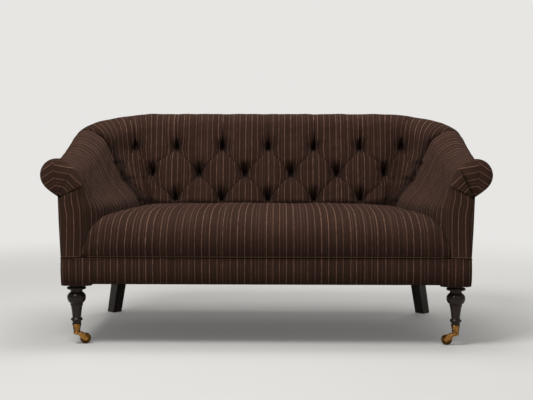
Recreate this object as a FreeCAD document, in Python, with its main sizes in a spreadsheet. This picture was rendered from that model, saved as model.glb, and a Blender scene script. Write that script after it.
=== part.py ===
"""Tufted settee: a deep-buttoned tub back, scroll arms and a sprung seat on castered legs.

Lengths are in millimetres.  +X is the sitter's left as seen from the front, the front
faces -Y and +Z is up.  Depths in the sizes below run back from the axis of the front legs,
and the origin lies on the floor under the middle of the whole settee.
"""
import FreeCAD, Part
import math
import os
from types import SimpleNamespace

import Sketcher

SIZES = (
    ("half_width", 720, "half the width over the rail border"),
    ("front_reach", 45, "rail border ahead of the front leg axis"),
    ("back_reach", 752, "outside back behind the front leg axis"),
    ("corner_radius", 260, "rear corner of the rail border"),
    ("front_corner", 25, "front corner of the rail border"),
    ("flare", 17, "how far the outside arms and back lean out at the top"),
    ("flare_height", 464, "height over which the outside leans out"),
    ("border_bottom", 219, "underside of the rail border"),
    ("border_top", 311, "top of the rail border and of the wooden rails"),
    ("border_skin", 6, "padded cloth outside the rails"),
    ("panel_skin", 6, "padded cloth of the outside arms and back"),
    ("rail_bottom", 225, "underside of the wooden rails"),
    ("rail_board", 32, "thickness of the seat rails"),
    ("frame_board", 26, "thickness of the boards above the rails"),
    ("top_board", 50, "height of the arm and top rails"),
    ("stay_board", 40, "height of the back stay rail"),
    ("stay_bottom", 345, "underside of the back stay rail"),
    ("post_width", 40, "width of the back posts"),
    ("post_setback", 25, "arm post behind the front of the rail border"),
    ("straight_end", 256, "end of the straight back inside the rail border"),
    ("seam_setback", 172, "seam of the back and the arms ahead of the outside back"),
    ("web_skin", 1.5, "thickness of the webbing"),
    ("web_width", 50, "width of the webbing"),
    ("hessian_skin", 1.5, "thickness of the spring cover"),
    ("dust_inset", 8, "how far the dust cover stays inside the rails"),
    ("dust_corner", 40, "how much closer the dust cover is cut at the rear corners"),
    ("dust_skin", 1.5, "thickness of the dust cover"),
    ("soft_gap", 0.3, "clearance round every soft piece"),
    ("back_top", 841, "top of the back roll"),
    ("back_roll", 54, "radius of the back roll"),
    ("arm_top", 658, "top of the arm at the front"),
    ("seam_top", 762, "top of the arm where it meets the back"),
    ("arm_roll", 57, "radius of the arm roll"),
    ("roll_out", 13, "axis of an arm roll outside the rail border"),
    ("roll_drop", 113, "from the top of a roll down to its nip"),
    ("arm_over", 48, "stuffing over the arm rail"),
    ("back_over", 71, "stuffing over the top rail"),
    ("arm_thick", 75, "arm inside the rail border at the front"),
    ("seam_thick", 208, "arm inside the rail border at its seam with the back"),
    ("seat_line", 480, "height of the seat where it meets the back"),
    ("seat_crown", 477, "height of the middle of the seat"),
    ("seat_side", 461, "height of the seat beside the arms"),
    ("pad_bottom", 386, "underside of the back stuffing"),
    ("side_tuft", 80, "from the last column of buttons to the end of the straight back"),
    ("top_row", 696, "height of the top row of buttons"),
    ("middle_row", 591, "height of the middle row of buttons"),
    ("bottom_row", 487, "height of the bottom row of buttons"),
    ("tuft_sink", 20, "depth of a button below the face of the back"),
    ("fold_sink", 5, "depth of a fold below the face of the back"),
    ("tuft_crown", 15, "height of a tuft above the face of the back"),
    ("button_size", 22, "diameter of a covered button"),
    ("recess_depth", 40, "length over which the stuffing is drawn in above a button"),
    ("button_rise", 7, "height of a covered button"),
    ("well_side", 220, "spring well inside the rail border"),
    ("well_front", 12, "front of the spring well"),
    ("well_setback", 187, "spring well ahead of the outside back"),
    ("well_slope", 34, "how far the well draws in towards its top"),
    ("well_top", 400, "top of the spring well"),
    ("leg_inset", 50, "axis of a front leg inside the rail border"),
    ("shank_size", 50, "hidden top of the front leg"),
    ("collar_size", 67, "collar under the rail"),
    ("collar_top", 205, "top of the collar"),
    ("collar_bottom", 196, "underside of the collar"),
    ("neck_size", 42, "neck under the collar"),
    ("neck_bottom", 184, "underside of the neck"),
    ("bulb_size", 64, "vase-shaped bulb"),
    ("bulb_depth", 9, "how far the bulb swells beyond its lower end"),
    ("bulb_middle", 169, "widest part of the bulb"),
    ("bulb_bottom", 146, "underside of the bulb"),
    ("ring_size", 45, "ring under the bulb"),
    ("ring_bottom", 139, "underside of the ring"),
    ("shaft_size", 40, "top of the tapered shaft"),
    ("shaft_foot", 30, "bottom of the tapered shaft"),
    ("ankle_size", 42, "ring above the ankle"),
    ("ankle_top", 93, "top of the ankle ring"),
    ("ankle_bottom", 83, "underside of the ankle ring"),
    ("cup_top", 73, "top of the brass cup"),
    ("cup_bottom", 44, "underside of the brass cup"),
    ("cup_size", 31, "diameter of the cup at its top"),
    ("cup_foot", 23, "diameter of the cup at its bottom"),
    ("cup_wall", 2.5, "wall of the brass cup"),
    ("cup_floor", 6, "thickness of the cup's floor"),
    ("cup_bead", 1.5, "how far the lip of the cup stands out"),
    ("cup_lip", 4, "height of the lip of the cup"),
    ("wheel_size", 38.6, "diameter of a wheel"),
    ("wheel_width", 13, "width of a wheel"),
    ("wheel_room", 1.5, "room round a wheel in its fork"),
    ("trail", 30.5, "from the swivel pin to the axle"),
    ("fork_cheek", 3, "thickness of a fork cheek"),
    ("fork_gap", 0.6, "clearance beside a wheel"),
    ("fork_boss", 7, "radius of the cheek round the axle"),
    ("plate_size", 24, "diameter of the horn's round plate"),
    ("plate_skin", 7, "thickness of the horn's round plate"),
    ("axle_size", 6, "diameter of the wheel axle"),
    ("axle_rivet", 1.6, "how far the axle stands out of the fork"),
    ("pin_size", 7, "diameter of the swivel pin"),
    ("pin_head", 11, "diameter of the head of the swivel pin"),
    ("pin_head_rise", 3, "height of the head of the swivel pin"),
    ("play", 0.05, "running clearance round the pins"),
    ("end_play", 0.4, "clearance above and below the horn's plate"),
    ("rest_turn", 15, "how far the casters stand turned, in degrees"),
    ("bolt_size", 8, "diameter of the leg bolts"),
    ("bolt_rise", 62, "leg bolt above the underside of the rails"),
    ("bolt_drop", 55, "leg bolt below the underside of the rails"),
    ("block_reach", 120, "length of a corner block along the rails"),
    ("block_height", 50, "height of a corner block"),
    ("nut_size", 13, "leg nut across its flats"),
    ("nut_rise", 6.5, "height of a leg nut"),
    ("rear_leg_side", 105, "rear leg at the rails, inside the rail border"),
    ("rear_leg_setback", 94, "rear leg at the rails, ahead of the outside back"),
    ("rear_splay", 40, "how far a rear leg leans out each way"),
    ("tuck_gap", 2, "room above the outside cloth where it goes up under the roll"),
    ("strap_end", 10, "how far a strap stops short of the edge of its rail"),
    ("rear_leg_size", 46, "side of the square rear leg at its top"),
    ("rear_foot_size", 42, "side of the square rear leg at the floor"),
    ("stretcher_drop", 12, "top of the stretcher below the rails"),
    ("stretcher_height", 62, "height of the seat stretcher"),
)

doc = FreeCAD.newDocument("TuftedSettee")
sheet = doc.addObject("Spreadsheet::Sheet", "Sizes")
for row, (alias, value, note) in enumerate(SIZES, start=1):
    sheet.set("A%d" % row, note)
    sheet.set("B%d" % row, str(value))
    sheet.setAlias("B%d" % row, alias)
doc.recompute()


class Size:
    """A number that keeps the sheet expression it is worked out by."""

    def __init__(self, value, text=None):
        self.value = float(value)
        self.text = "%.6f" % value if text is None else text

    def joined(self, other, sign, value):
        return Size(value, "(%s %s %s)" % (self.text, sign, other.text))

    def __add__(self, other):
        other = sized(other)
        return self.joined(other, "+", self.value + other.value)

    def __sub__(self, other):
        other = sized(other)
        return self.joined(other, "-", self.value - other.value)

    def __mul__(self, other):
        other = sized(other)
        return self.joined(other, "*", self.value * other.value)

    def __truediv__(self, other):
        other = sized(other)
        return self.joined(other, "/", self.value / other.value)

    def __radd__(self, other):
        return sized(other) + self

    def __rsub__(self, other):
        return sized(other) - self

    def __rmul__(self, other):
        return sized(other) * self

    def __neg__(self):
        return sized(0) - self

    def __float__(self):
        return self.value


def sized(number):
    return number if isinstance(number, Size) else Size(number)


def root_of(square):
    square = sized(square)
    return Size(math.sqrt(square.value), "sqrt(%s)" % square.text)


S = SimpleNamespace(**{alias: Size(value, "Sizes.%s" % alias) for alias, value, _ in SIZES})

# Places worked out from the sizes
arm_roll_half = S.half_width + S.roll_out
arm_inside = S.half_width - S.arm_thick
seam_inside = S.half_width - S.seam_thick
straight_half = S.half_width - S.straight_end
tuft_pitch = (straight_half - S.side_tuft) / 2
leg_half = S.half_width - S.leg_inset
rear_leg_half = S.half_width - S.rear_leg_side
well_half = S.half_width - S.well_side
post_front = S.post_setback - S.front_reach
seam_depth = S.back_reach - S.seam_setback
rear_leg_depth = S.back_reach - S.rear_leg_setback
well_back = S.back_reach - S.well_setback
wood_half = S.half_width - S.border_skin
wood_front = -S.front_reach + S.border_skin
wood_back = S.back_reach - S.border_skin
corner_x = S.half_width - S.corner_radius
corner_depth = S.back_reach - S.corner_radius
wood_corner = S.corner_radius - S.border_skin
rail_height = S.border_top - S.rail_bottom
side_inner = wood_half - S.rail_board
front_inner = wood_front + S.rail_board
back_inner = wood_back - S.rail_board
frame_inner = wood_half - S.frame_board
frame_front = wood_back - S.frame_board
pad_base = S.border_top + S.hessian_skin + S.soft_gap
roll_back = S.back_reach - 4
nose_front = S.front_reach + 13
middle_depth = (roll_back + S.back_roll - nose_front) / 2
back_rail_top = S.back_top - S.back_over
back_nip = S.back_top - 100
top_rail_bottom = back_rail_top - S.top_board
swivel_plate_top = S.cup_bottom - S.end_play
swivel_plate_bottom = swivel_plate_top - S.plate_skin
fork_width = S.wheel_width + 2 * S.fork_gap + 2 * S.fork_cheek
wheel_radius = S.wheel_size / 2

nodes = []


def mm(number):
    return float(number)


def bind(obj, prop, number):
    """Binds a property to the sheet, so that it follows the sizes."""
    obj.setExpression(prop, sized(number).text)


def place(obj, x=0, depth=0, z=0):
    bind(obj, "Placement.Base.x", x)
    bind(obj, "Placement.Base.y", sized(depth) - middle_depth)
    bind(obj, "Placement.Base.z", z)


def new_body(label, x=0, depth=0, z=0):
    body = doc.addObject("PartDesign::Body", label)
    place(body, x, depth, z)
    nodes.append(body)
    return body


def new_sketch(body, role, lift=None):
    """A sketch on one of the body's own planes, raised by lift along its normal."""
    sketch = body.newObject("Sketcher::SketchObject", body.Name + "Sketch")
    plane = [item for item in body.Origin.OriginFeatures if item.Role == role][0]
    sketch.AttachmentSupport = [(plane, "")]
    sketch.MapMode = "FlatFace"
    if lift is not None:
        bind(sketch, "AttachmentOffset.Base.z", lift)
    return sketch


def fix_point(sketch, edge, end, x, y):
    for kind, number in (("DistanceX", x), ("DistanceY", y)):
        number = sized(number)
        index = sketch.addConstraint(Sketcher.Constraint(kind, -1, 1, edge, end, number.value))
        sketch.setExpression("Constraints[%d]" % index, number.text)


def arc_between(start, end, radius):
    """The shorter arc; a positive radius has its centre on the left of the way."""
    a = FreeCAD.Vector(*start)
    b = FreeCAD.Vector(*end)
    chord = b - a
    side = FreeCAD.Vector(-chord.y, chord.x, 0).normalize() * math.copysign(1, radius)
    height = math.sqrt(max(radius * radius - chord.Length ** 2 / 4, 0))
    centre = (a + b) * 0.5 + side * height
    first, last = (a, b) if radius > 0 else (b, a)
    start_angle = math.atan2(first.y - centre.y, first.x - centre.x)
    end_angle = math.atan2(last.y - centre.y, last.x - centre.x)
    if end_angle < start_angle:
        end_angle += 2 * math.pi
    circle = Part.Circle(centre, FreeCAD.Vector(0, 0, 1), abs(radius))
    return Part.ArcOfCircle(circle, start_angle, end_angle)


def outline(body, role, points, lift=None):
    """A closed outline; a point's third value is the radius of the arc that leads to it."""
    sketch = new_sketch(body, role, lift)
    count = len(points)
    ends = []
    for index in range(count):
        here = points[index]
        there = points[(index + 1) % count]
        start = (mm(here[0]), mm(here[1]), 0)
        end = (mm(there[0]), mm(there[1]), 0)
        if len(there) > 2:
            radius = sized(there[2])
            sketch.addGeometry(arc_between(start, end, radius.value))
            ends.append((1, 2) if radius.value > 0 else (2, 1))
        else:
            sketch.addGeometry(Part.LineSegment(FreeCAD.Vector(*start), FreeCAD.Vector(*end)))
            ends.append((1, 2))
    for index in range(count):
        following = (index + 1) % count
        sketch.addConstraint(Sketcher.Constraint(
            "Coincident", index, ends[index][1], following, ends[following][0]))
    for index in range(count):
        fix_point(sketch, index, ends[index][0], points[index][0], points[index][1])
        there = points[(index + 1) % count]
        if len(there) > 2:
            radius = sized(there[2])
            size = radius if radius.value > 0 else -radius
            number = sketch.addConstraint(Sketcher.Constraint("Radius", index, size.value))
            sketch.setExpression("Constraints[%d]" % number, size.text)
    return sketch


def circle(body, role, x, y, radius, lift=None):
    sketch = new_sketch(body, role, lift)
    centre = FreeCAD.Vector(mm(x), mm(y), 0)
    sketch.addGeometry(Part.Circle(centre, FreeCAD.Vector(0, 0, 1), mm(radius)))
    fix_point(sketch, 0, 3, x, y)
    number = sketch.addConstraint(Sketcher.Constraint("Radius", 0, mm(radius)))
    sketch.setExpression("Constraints[%d]" % number, sized(radius).text)
    return sketch


def pad(body, sketch, length, both_ways=False, backwards=False):
    feature = body.newObject("PartDesign::Pad", body.Name + "Pad")
    feature.Profile = sketch
    feature.SideType = "Symmetric" if both_ways else "One side"
    feature.Reversed = backwards
    bind(feature, "Length", length)
    return feature


def pocket(body, sketch, length, both_ways=False, backwards=False):
    feature = body.newObject("PartDesign::Pocket", body.Name + "Pocket")
    feature.Profile = sketch
    feature.SideType = "Symmetric" if both_ways else "One side"
    feature.Reversed = backwards
    bind(feature, "Length", length)
    return feature


def loft(body, first, second, cutting=False):
    kind = "PartDesign::SubtractiveLoft" if cutting else "PartDesign::AdditiveLoft"
    feature = body.newObject(kind, body.Name + "Loft")
    feature.Profile = first
    feature.Sections = [second]
    feature.Ruled = True
    return feature


def revolve(body, sketch, axis="V_Axis"):
    feature = body.newObject("PartDesign::Revolution", body.Name + "Turning")
    feature.Profile = sketch
    feature.ReferenceAxis = (sketch, [axis])
    feature.Angle = 360
    return feature


def soft(label, shape):
    """A stuffed or stitched piece whose shape is worked out section by section."""
    feature = doc.addObject("Part::Feature", label)
    feature.Shape = shape
    place(feature)
    nodes.append(feature)
    return feature


def named(side, piece):
    return ("left_" if side < 0 else "right_") + piece


SIDES = (-1, 1)

# The swoop of an arm.  Each station is a share of the way from the post to the seam, a share
# of the rise to the seam, and a share by which the inside has drawn in towards the seam.
ARM_STATIONS = (
    (0.0, 0.0, 0.12),
    (0.05, 0.0, 0.22),
    (0.117, 0.0, 0.33),
    (0.2, 0.01, 0.42),
    (0.367, 0.09, 0.56),
    (0.533, 0.28, 0.69),
    (0.783, 0.67, 0.86),
    (1.0, 1.0, 1.0),
)


def arm_stations():
    length = seam_depth - S.soft_gap - post_front
    return [(post_front + length * way, rise, drawn) for way, rise, drawn in ARM_STATIONS]


def arm_height(rise):
    return S.arm_top + (S.seam_top - S.arm_top) * rise


def arm_inner(drawn):
    return arm_inside + (seam_inside - arm_inside) * drawn


def arm_rise_at(depth):
    """Share of the rise at any depth, straight between the stations."""
    stations = arm_stations()
    for (d0, r0, _), (d1, r1, _) in zip(stations, stations[1:]):
        if d0.value <= float(depth) <= d1.value:
            share = (sized(depth) - d0) / (d1 - d0)
            return r0 + share * (r1 - r0)
    return sized(stations[-1][1])


def flare_at(z):
    return (sized(z) - S.border_top) / S.flare_height


# Seat frame


def make_seat_rails():
    body = new_body("front_seat_rail", 0, wood_front, S.rail_bottom)
    pad(body, outline(body, "XY_Plane", (
        (-side_inner, 0), (side_inner, 0), (side_inner, S.rail_board), (-side_inner, S.rail_board),
    )), rail_height)
    body = new_body("rear_seat_rail", 0, back_inner, S.rail_bottom)
    pad(body, outline(body, "XY_Plane", (
        (-corner_x, 0), (corner_x, 0), (corner_x, S.rail_board), (-corner_x, S.rail_board),
    )), rail_height)
    rounding = S.front_corner - S.border_skin
    for side in SIDES:
        body = new_body(named(side, "seat_rail"), 0, 0, S.rail_bottom)
        pad(body, outline(body, "XY_Plane", (
            (side * side_inner, wood_front),
            (side * (wood_half - rounding), wood_front),
            (side * wood_half, wood_front + rounding, side * rounding),
            (side * wood_half, corner_depth),
            (side * side_inner, corner_depth),
        )), rail_height)
        body = new_body(named(side, "corner_rail"), side * corner_x, corner_depth, S.rail_bottom)
        inner = wood_corner - S.rail_board
        half = root_of(0.5)
        pad(body, outline(body, "XY_Plane", (
            (side * inner, 0, -side * inner),
            (side * wood_corner, 0),
            (side * wood_corner * half, wood_corner * half, side * wood_corner),
            (0, wood_corner, side * wood_corner),
            (0, inner),
            (side * inner * half, inner * half, -side * inner),
        )), rail_height)
        bore = circle(body, "XY_Plane", side * (rear_leg_half - corner_x),
                      rear_leg_depth - corner_depth, S.bolt_size / 2)
        pocket(body, bore, S.bolt_rise, backwards=True)


def make_stretcher():
    body = new_body("seat_stretcher", 0, front_inner, 0)
    top = S.border_top - S.stretcher_drop
    length = back_inner - front_inner
    board = outline(body, "YZ_Plane", (
        (0, top), (0, top - S.stretcher_height),
        (length, top - S.stretcher_height), (length, top),
    ))
    pad(body, board, S.rail_board, both_ways=True)


def make_corner_blocks():
    for side in SIDES:
        body = new_body(named(side, "front_block"), side * side_inner, front_inner, S.rail_bottom)
        pad(body, outline(body, "XY_Plane", (
            (0, 0), (0, S.block_reach), (-side * S.block_reach, 0),
        )), S.block_height)
        bore = circle(body, "XY_Plane", side * (leg_half - side_inner), -front_inner,
                      S.bolt_size / 2)
        pocket(body, bore, S.block_height, backwards=True)
        body = new_body(named(side, "rear_block"), side * corner_x, corner_depth, S.rail_bottom)
        inner = wood_corner - S.rail_board
        half = root_of(0.5)
        pad(body, outline(body, "XY_Plane", (
            (side * inner, 0),
            (side * inner * half, inner * half, side * inner),
            (0, inner, side * inner),
        )), S.block_height)


# Arm and back frame


def make_arm_frame():
    head_radius = arm_roll_half - frame_inner
    head_height = S.arm_top - S.arm_roll
    shoulder = root_of(head_radius * head_radius
                       - (arm_roll_half - wood_half) * (arm_roll_half - wood_half))
    for side in SIDES:
        body = new_body(named(side, "arm_post"), 0, post_front, 0)
        pad(body, outline(body, "XZ_Plane", (
            (side * frame_inner, S.border_top),
            (side * wood_half, S.border_top),
            (side * wood_half, head_height - shoulder),
            (side * (arm_roll_half + head_radius), head_height, side * head_radius),
            (side * arm_roll_half, head_height + head_radius, side * head_radius),
            (side * frame_inner, head_height, side * head_radius),
        )), S.frame_board, backwards=True)
        post_back = post_front + S.frame_board
        heights = [(post_back, arm_rise_at(post_back))]
        heights += [(depth, rise) for depth, rise, _ in arm_stations()[2:]]
        top = [(depth, arm_height(rise) - S.arm_over) for depth, rise in heights]
        bottom = [(depth, height - S.top_board) for depth, height in reversed(top)]
        body = new_body(named(side, "arm_rail"), side * (wood_half - S.frame_board / 2), 0, 0)
        pad(body, outline(body, "YZ_Plane", top + bottom), S.frame_board, both_ways=True)
        stay_back = corner_depth
        stay_front = stay_back - S.frame_board
        body = new_body(named(side, "arm_stay"), side * (wood_half - S.frame_board / 2), 0, 0)
        pad(body, outline(body, "YZ_Plane", (
            (stay_front, S.border_top),
            (stay_back, S.border_top),
            (stay_back, arm_height(arm_rise_at(stay_back)) - S.arm_over - S.top_board),
            (stay_front, arm_height(arm_rise_at(stay_front)) - S.arm_over - S.top_board),
        )), S.frame_board, both_ways=True)


def make_back_frame():
    for side in SIDES:
        body = new_body(named(side, "back_post"), 0, frame_front, S.border_top)
        outer = straight_half - S.post_width / 2
        pad(body, outline(body, "XY_Plane", (
            (side * outer, 0), (side * (outer - S.post_width), 0),
            (side * (outer - S.post_width), S.frame_board), (side * outer, S.frame_board),
        )), top_rail_bottom - S.border_top)
    post_inner = straight_half - S.post_width * 1.5
    body = new_body("back_top_rail", 0, frame_front, top_rail_bottom)
    pad(body, outline(body, "XY_Plane", (
        (-straight_half, 0), (straight_half, 0),
        (straight_half, S.frame_board), (-straight_half, S.frame_board),
    )), S.top_board)
    body = new_body("back_stay_rail", 0, frame_front, S.stay_bottom)
    pad(body, outline(body, "XY_Plane", (
        (-post_inner, 0), (post_inner, 0),
        (post_inner, S.frame_board), (-post_inner, S.frame_board),
    )), S.stay_board)
    upright_half = S.post_width / 2
    upright_bottom = S.stay_bottom + S.stay_board
    body = new_body("back_centre_upright", 0, frame_front, upright_bottom)
    pad(body, outline(body, "XY_Plane", (
        (-upright_half, 0), (upright_half, 0),
        (upright_half, S.frame_board), (-upright_half, S.frame_board),
    )), top_rail_bottom - upright_bottom)


# The back and arms share one section, drawn in a plane that turns about the end of the
# straight back.  Each place of the section has a reach from that turning line and a height.


def blend(first, last, share):
    return first + (last - first) * share


def point_on(side, turn, reach, z):
    """A point at a reach from the turning line, turned from the back towards the arm."""
    angle = math.radians(turn)
    x = mm(straight_half) + reach * math.sin(angle)
    return FreeCAD.Vector(side * x, mm(seam_depth) + reach * math.cos(angle), z)


def bulged(start, end, rise):
    """The middle of an arc from start to end, pushed out by rise on the sitter's side."""
    run = end[0] - start[0]
    climb = end[1] - start[1]
    length = math.hypot(run, climb)
    rise = min(rise, length * 0.3)
    return ((start[0] + end[0]) / 2 - climb / length * rise,
            (start[1] + end[1]) / 2 + run / length * rise)


ARC_STEPS = 4


def section_points(to_space, places):
    """The points of a closed section; a place with four values ends an arc and has its middle.

    An arc is drawn in short straight lengths, as the cloth lies over its stuffing.
    """
    points = []
    for here, there in zip(places, places[1:] + places[:1]):
        points.append(to_space(here[0], here[1]))
        if len(there) == 4:
            arc = Part.Arc(points[-1], to_space(there[2], there[3]), to_space(there[0], there[1]))
            points += arc.discretize(ARC_STEPS + 1)[1:-1]
    return points


def flat_face(points):
    return Part.Face(Part.makePolygon(list(points) + [points[0]]))


def stretched(sections):
    """A solid whose cloth is stretched flat from each section to the next."""
    faces = [flat_face(sections[0]), flat_face(sections[-1])]
    count = len(sections[0])
    for near, far in zip(sections, sections[1:]):
        for index in range(count):
            following = (index + 1) % count
            a, b = near[index], near[following]
            c, d = far[following], far[index]
            if a.distanceToPoint(c) < b.distanceToPoint(d):
                faces += [flat_face((a, b, c)), flat_face((a, c, d))]
            else:
                faces += [flat_face((a, b, d)), flat_face((b, c, d))]
    shell = Part.makeShell(faces)
    shell.sewShape()
    solid = Part.makeSolid(shell)
    if solid.Volume < 0:
        solid.reverse()
    return solid.removeSplitter()


def with_arc(start, end, rise):
    middle = bulged(start, end, rise)
    return (end[0], end[1], middle[0], middle[1])


def circle_place(centre, radius, angle):
    return (centre[0] + radius * math.cos(math.radians(angle)),
            centre[1] + radius * math.sin(math.radians(angle)))


def rolled_top(shoulder, centre, radius, nip):
    """From the shoulder over the roll to its nip, as arcs that meet smoothly at the top."""
    top = circle_place(centre, radius, 92)
    outer = circle_place(centre, radius, 0)
    inner_middle = ((shoulder[0] * 0.72 + top[0] * 0.28), (shoulder[1] * 0.28 + top[1] * 0.72))
    outer_middle = circle_place(centre, radius, 46)
    nip_middle = circle_place(centre, radius, -30)
    return [top + inner_middle, outer + outer_middle, nip + nip_middle]


def hook(base, seat, lower, upper, shoulder, roll, nip, hollow, bulges):
    """A section that hooks over its rail: the face, the roll and the hollow for the frame."""
    inner, outer, rail_top = hollow
    places = [base, seat]
    for start, end, rise in zip((seat, lower, upper), (lower, upper, shoulder), bulges):
        places.append(with_arc(start, end, rise) if rise else end)
    places += rolled_top(shoulder, roll[0], roll[1], nip)
    places += [(outer, nip[1]), (outer, rail_top), (inner, rail_top), (inner, base[1])]
    return places


# Tufted back


def fold_height(along, knots):
    """Height of a zigzag fold, straight from button to button."""
    for (a0, z0), (a1, z1) in zip(knots, knots[1:]):
        if a0 <= along <= a1:
            return z0 + (z1 - z0) * (along - a0) / (a1 - a0)
    return knots[-1][1]


CORNER_RUN = 240.0
MIDDLE_TURN = 22.5
TOP_TURN = 45.0
SEAM_TURN = 90.0
CORNER_TURNS = (MIDDLE_TURN, TOP_TURN, 60.0, 75.0, SEAM_TURN)


def along_at(turn):
    return mm(straight_half) + turn / SEAM_TURN * CORNER_RUN


def fold_knots():
    """The two zigzags: middle row to top row, and bottom row to middle row."""
    pitch = mm(tuft_pitch)
    top = mm(S.top_row)
    middle = mm(S.middle_row)
    bottom = mm(S.bottom_row)
    columns = [0, pitch / 2, pitch, pitch * 1.5, pitch * 2, along_at(MIDDLE_TURN)]
    upper = [(at, middle if index % 2 else top) for index, at in enumerate(columns)]
    lower = [(at, middle if index % 2 else bottom) for index, at in enumerate(columns)]
    upper += [(along_at(TOP_TURN), top), (along_at(SEAM_TURN), mm(SEAM_FOLD))]
    lower += [(along_at(SEAM_TURN), bottom)]
    return upper, lower


SEAM_FOLD = S.seat_line + 84
BACK_REACH_SEAT = 22.0
BACK_REACH_TOP = 98.0


def face_reach(turn, z):
    """Reach of the face of the back before it is tufted."""
    share = (1 - math.cos(math.radians(turn * 2))) / 2
    rise = (z - mm(S.seat_line)) / (mm(S.back_top) - 66 - mm(S.seat_line))
    straight = BACK_REACH_SEAT + (BACK_REACH_TOP - BACK_REACH_SEAT) * max(rise, 0) ** 0.85
    seam_rise = max(z - mm(S.seat_line), 0) / mm(S.roll_drop + 87)
    seam_seat = mm(seam_inside - straight_half)
    seam = seam_seat + mm(arm_inside - seam_inside) * min(seam_rise, 1) ** 0.68
    return blend(straight, seam, share)


def outside_reach(turn, z):
    """Reach of the outside cloth, which leans out above the rail border."""
    radius = mm(S.corner_radius + S.flare * flare_at(z))
    from_x = mm(corner_x - straight_half)
    from_depth = mm(corner_depth - seam_depth)
    angle = math.radians(turn)
    along = from_x * math.sin(angle) + from_depth * math.cos(angle)
    off = from_x * math.cos(angle) - from_depth * math.sin(angle)
    return along + math.sqrt(radius * radius - off * off)


def frame_reach(turn):
    """Inner and outer reach of the curved frame, and the height of its top."""
    share = turn / SEAM_TURN
    top = blend(mm(back_rail_top), mm(S.seam_top - S.arm_over), share)
    outer = blend(mm(wood_back - seam_depth), mm(wood_half - straight_half), share)
    clear = outside_reach(turn, top - mm(S.top_board)) - mm(S.panel_skin) - 1
    outer = min(outer, clear)
    return outer - mm(S.frame_board), outer, top


ROLL_HOLD = 2.4


def lowered(turn):
    """How far the roll has come down to the arm's height; it stays up well into the corner."""
    return (turn / SEAM_TURN) ** ROLL_HOLD


def nip_height(turn):
    """Height of the nip under the roll, which falls from the back to the arm seam."""
    return blend(mm(back_nip), mm(S.seam_top - S.roll_drop), lowered(turn))


def back_section(along):
    turn = max(along - mm(straight_half), 0) / CORNER_RUN * SEAM_TURN
    share = (1 - math.cos(math.radians(turn * 2))) / 2
    linear = turn / SEAM_TURN
    upper_knots, lower_knots = fold_knots()
    upper_z = fold_height(along, upper_knots)
    lower_z = fold_height(along, lower_knots)
    if upper_z - lower_z < 8:
        upper_z = lower_z + 8
    pitch = mm(tuft_pitch)
    if along <= 2 * pitch:
        phase = math.cos(2 * math.pi * along / pitch)
    else:
        column = (along - 2 * pitch) / (along_at(TOP_TURN) - 2 * pitch)
        phase = math.cos(2 * math.pi * min(column, 1.5))
    near_button = abs(phase)
    sink = mm(S.fold_sink) + (mm(S.tuft_sink) - mm(S.fold_sink)) * near_button ** 3
    sink *= 1 - 0.8 * max(linear - 0.6, 0) / 0.4
    crown = mm(S.tuft_crown)
    base_reach = face_reach(turn, mm(S.seat_line))
    base = (base_reach, mm(S.pad_bottom))
    seat = (base_reach, mm(S.seat_line) - 6)
    lower = (face_reach(turn, lower_z) + sink, lower_z)
    upper = (face_reach(turn, upper_z) + sink, upper_z)
    shoulder_z = blend(mm(S.back_top) - 66, mm(S.seam_top) - 84, lowered(turn))
    channel = 6 * (phase + 0.35) * (1 - linear)
    shoulder = (face_reach(turn, shoulder_z) + channel, shoulder_z)
    top = blend(mm(S.back_top), mm(S.seam_top), lowered(turn))
    radius = blend(mm(S.back_roll), mm(S.arm_roll), share)
    nip_z = nip_height(turn)
    outside = outside_reach(turn, nip_z)
    centre = (blend(mm(roll_back - seam_depth), mm(arm_roll_half + 7 - straight_half), share),
              top - radius)
    spread = outside + 8 - centre[0]
    nip = (outside + 8, centre[1] - math.sqrt(max(radius * radius - spread * spread, 100)))
    nip = (nip[0], nip_z)
    gap = mm(S.soft_gap)
    frame_inside, frame_outside, frame_top = frame_reach(turn)
    hollow = (frame_inside - mm(S.web_skin) - gap, frame_outside + gap, frame_top + gap)
    bulges = (crown * 0.9, crown, crown * 0.6 - 0.5 * channel)
    return turn, hook(base, seat, lower, upper, shoulder, (centre, radius), nip, hollow, bulges)


def back_alongs():
    half_pitch = mm(tuft_pitch) / 2
    count = int(mm(straight_half) / half_pitch)
    alongs = [half_pitch * index for index in range(count + 1)] + [mm(straight_half)]
    return alongs + [along_at(turn) for turn in CORNER_TURNS]


def back_points(side, along):
    turn, places = back_section(along)
    if along <= mm(straight_half):
        x = side * along
        return section_points(
            lambda reach, z: FreeCAD.Vector(x, mm(seam_depth) + reach, z), places)
    return section_points(lambda reach, z: point_on(side, turn, reach, z), places)


def button_places():
    """Each button: its row, and where it lies on the right half of the back."""
    pitch = mm(tuft_pitch)
    rows = {"top": [], "middle": [], "bottom": []}
    rows["top"] = [(0, S.top_row), (pitch, S.top_row), (2 * pitch, S.top_row),
                   (along_at(TOP_TURN), S.top_row)]
    rows["middle"] = [(pitch / 2, S.middle_row), (1.5 * pitch, S.middle_row),
                      (along_at(MIDDLE_TURN), S.middle_row)]
    rows["bottom"] = [(0, S.bottom_row), (pitch, S.bottom_row), (2 * pitch, S.bottom_row)]
    return rows


BUTTON_TILT = 15.0


def button_frame(side, along, z):
    """Where a button sits, and the way it faces."""
    turn, places = back_section(along)
    lift = 4 if abs(mm(z) - mm(S.middle_row)) < 1 else 0
    reach = face_reach(turn, mm(z) + lift) + mm(S.tuft_sink)
    if along <= mm(straight_half):
        seat = FreeCAD.Vector(side * along, mm(seam_depth) + reach, mm(z) + lift)
    else:
        seat = point_on(side, turn, reach, mm(z) + lift)
    angle = math.radians(turn)
    tilt = math.radians(BUTTON_TILT)
    facing = FreeCAD.Vector(-side * math.sin(angle) * math.cos(tilt),
                            -math.cos(angle) * math.cos(tilt), math.sin(tilt))
    return seat - facing * 1.5, facing


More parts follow.
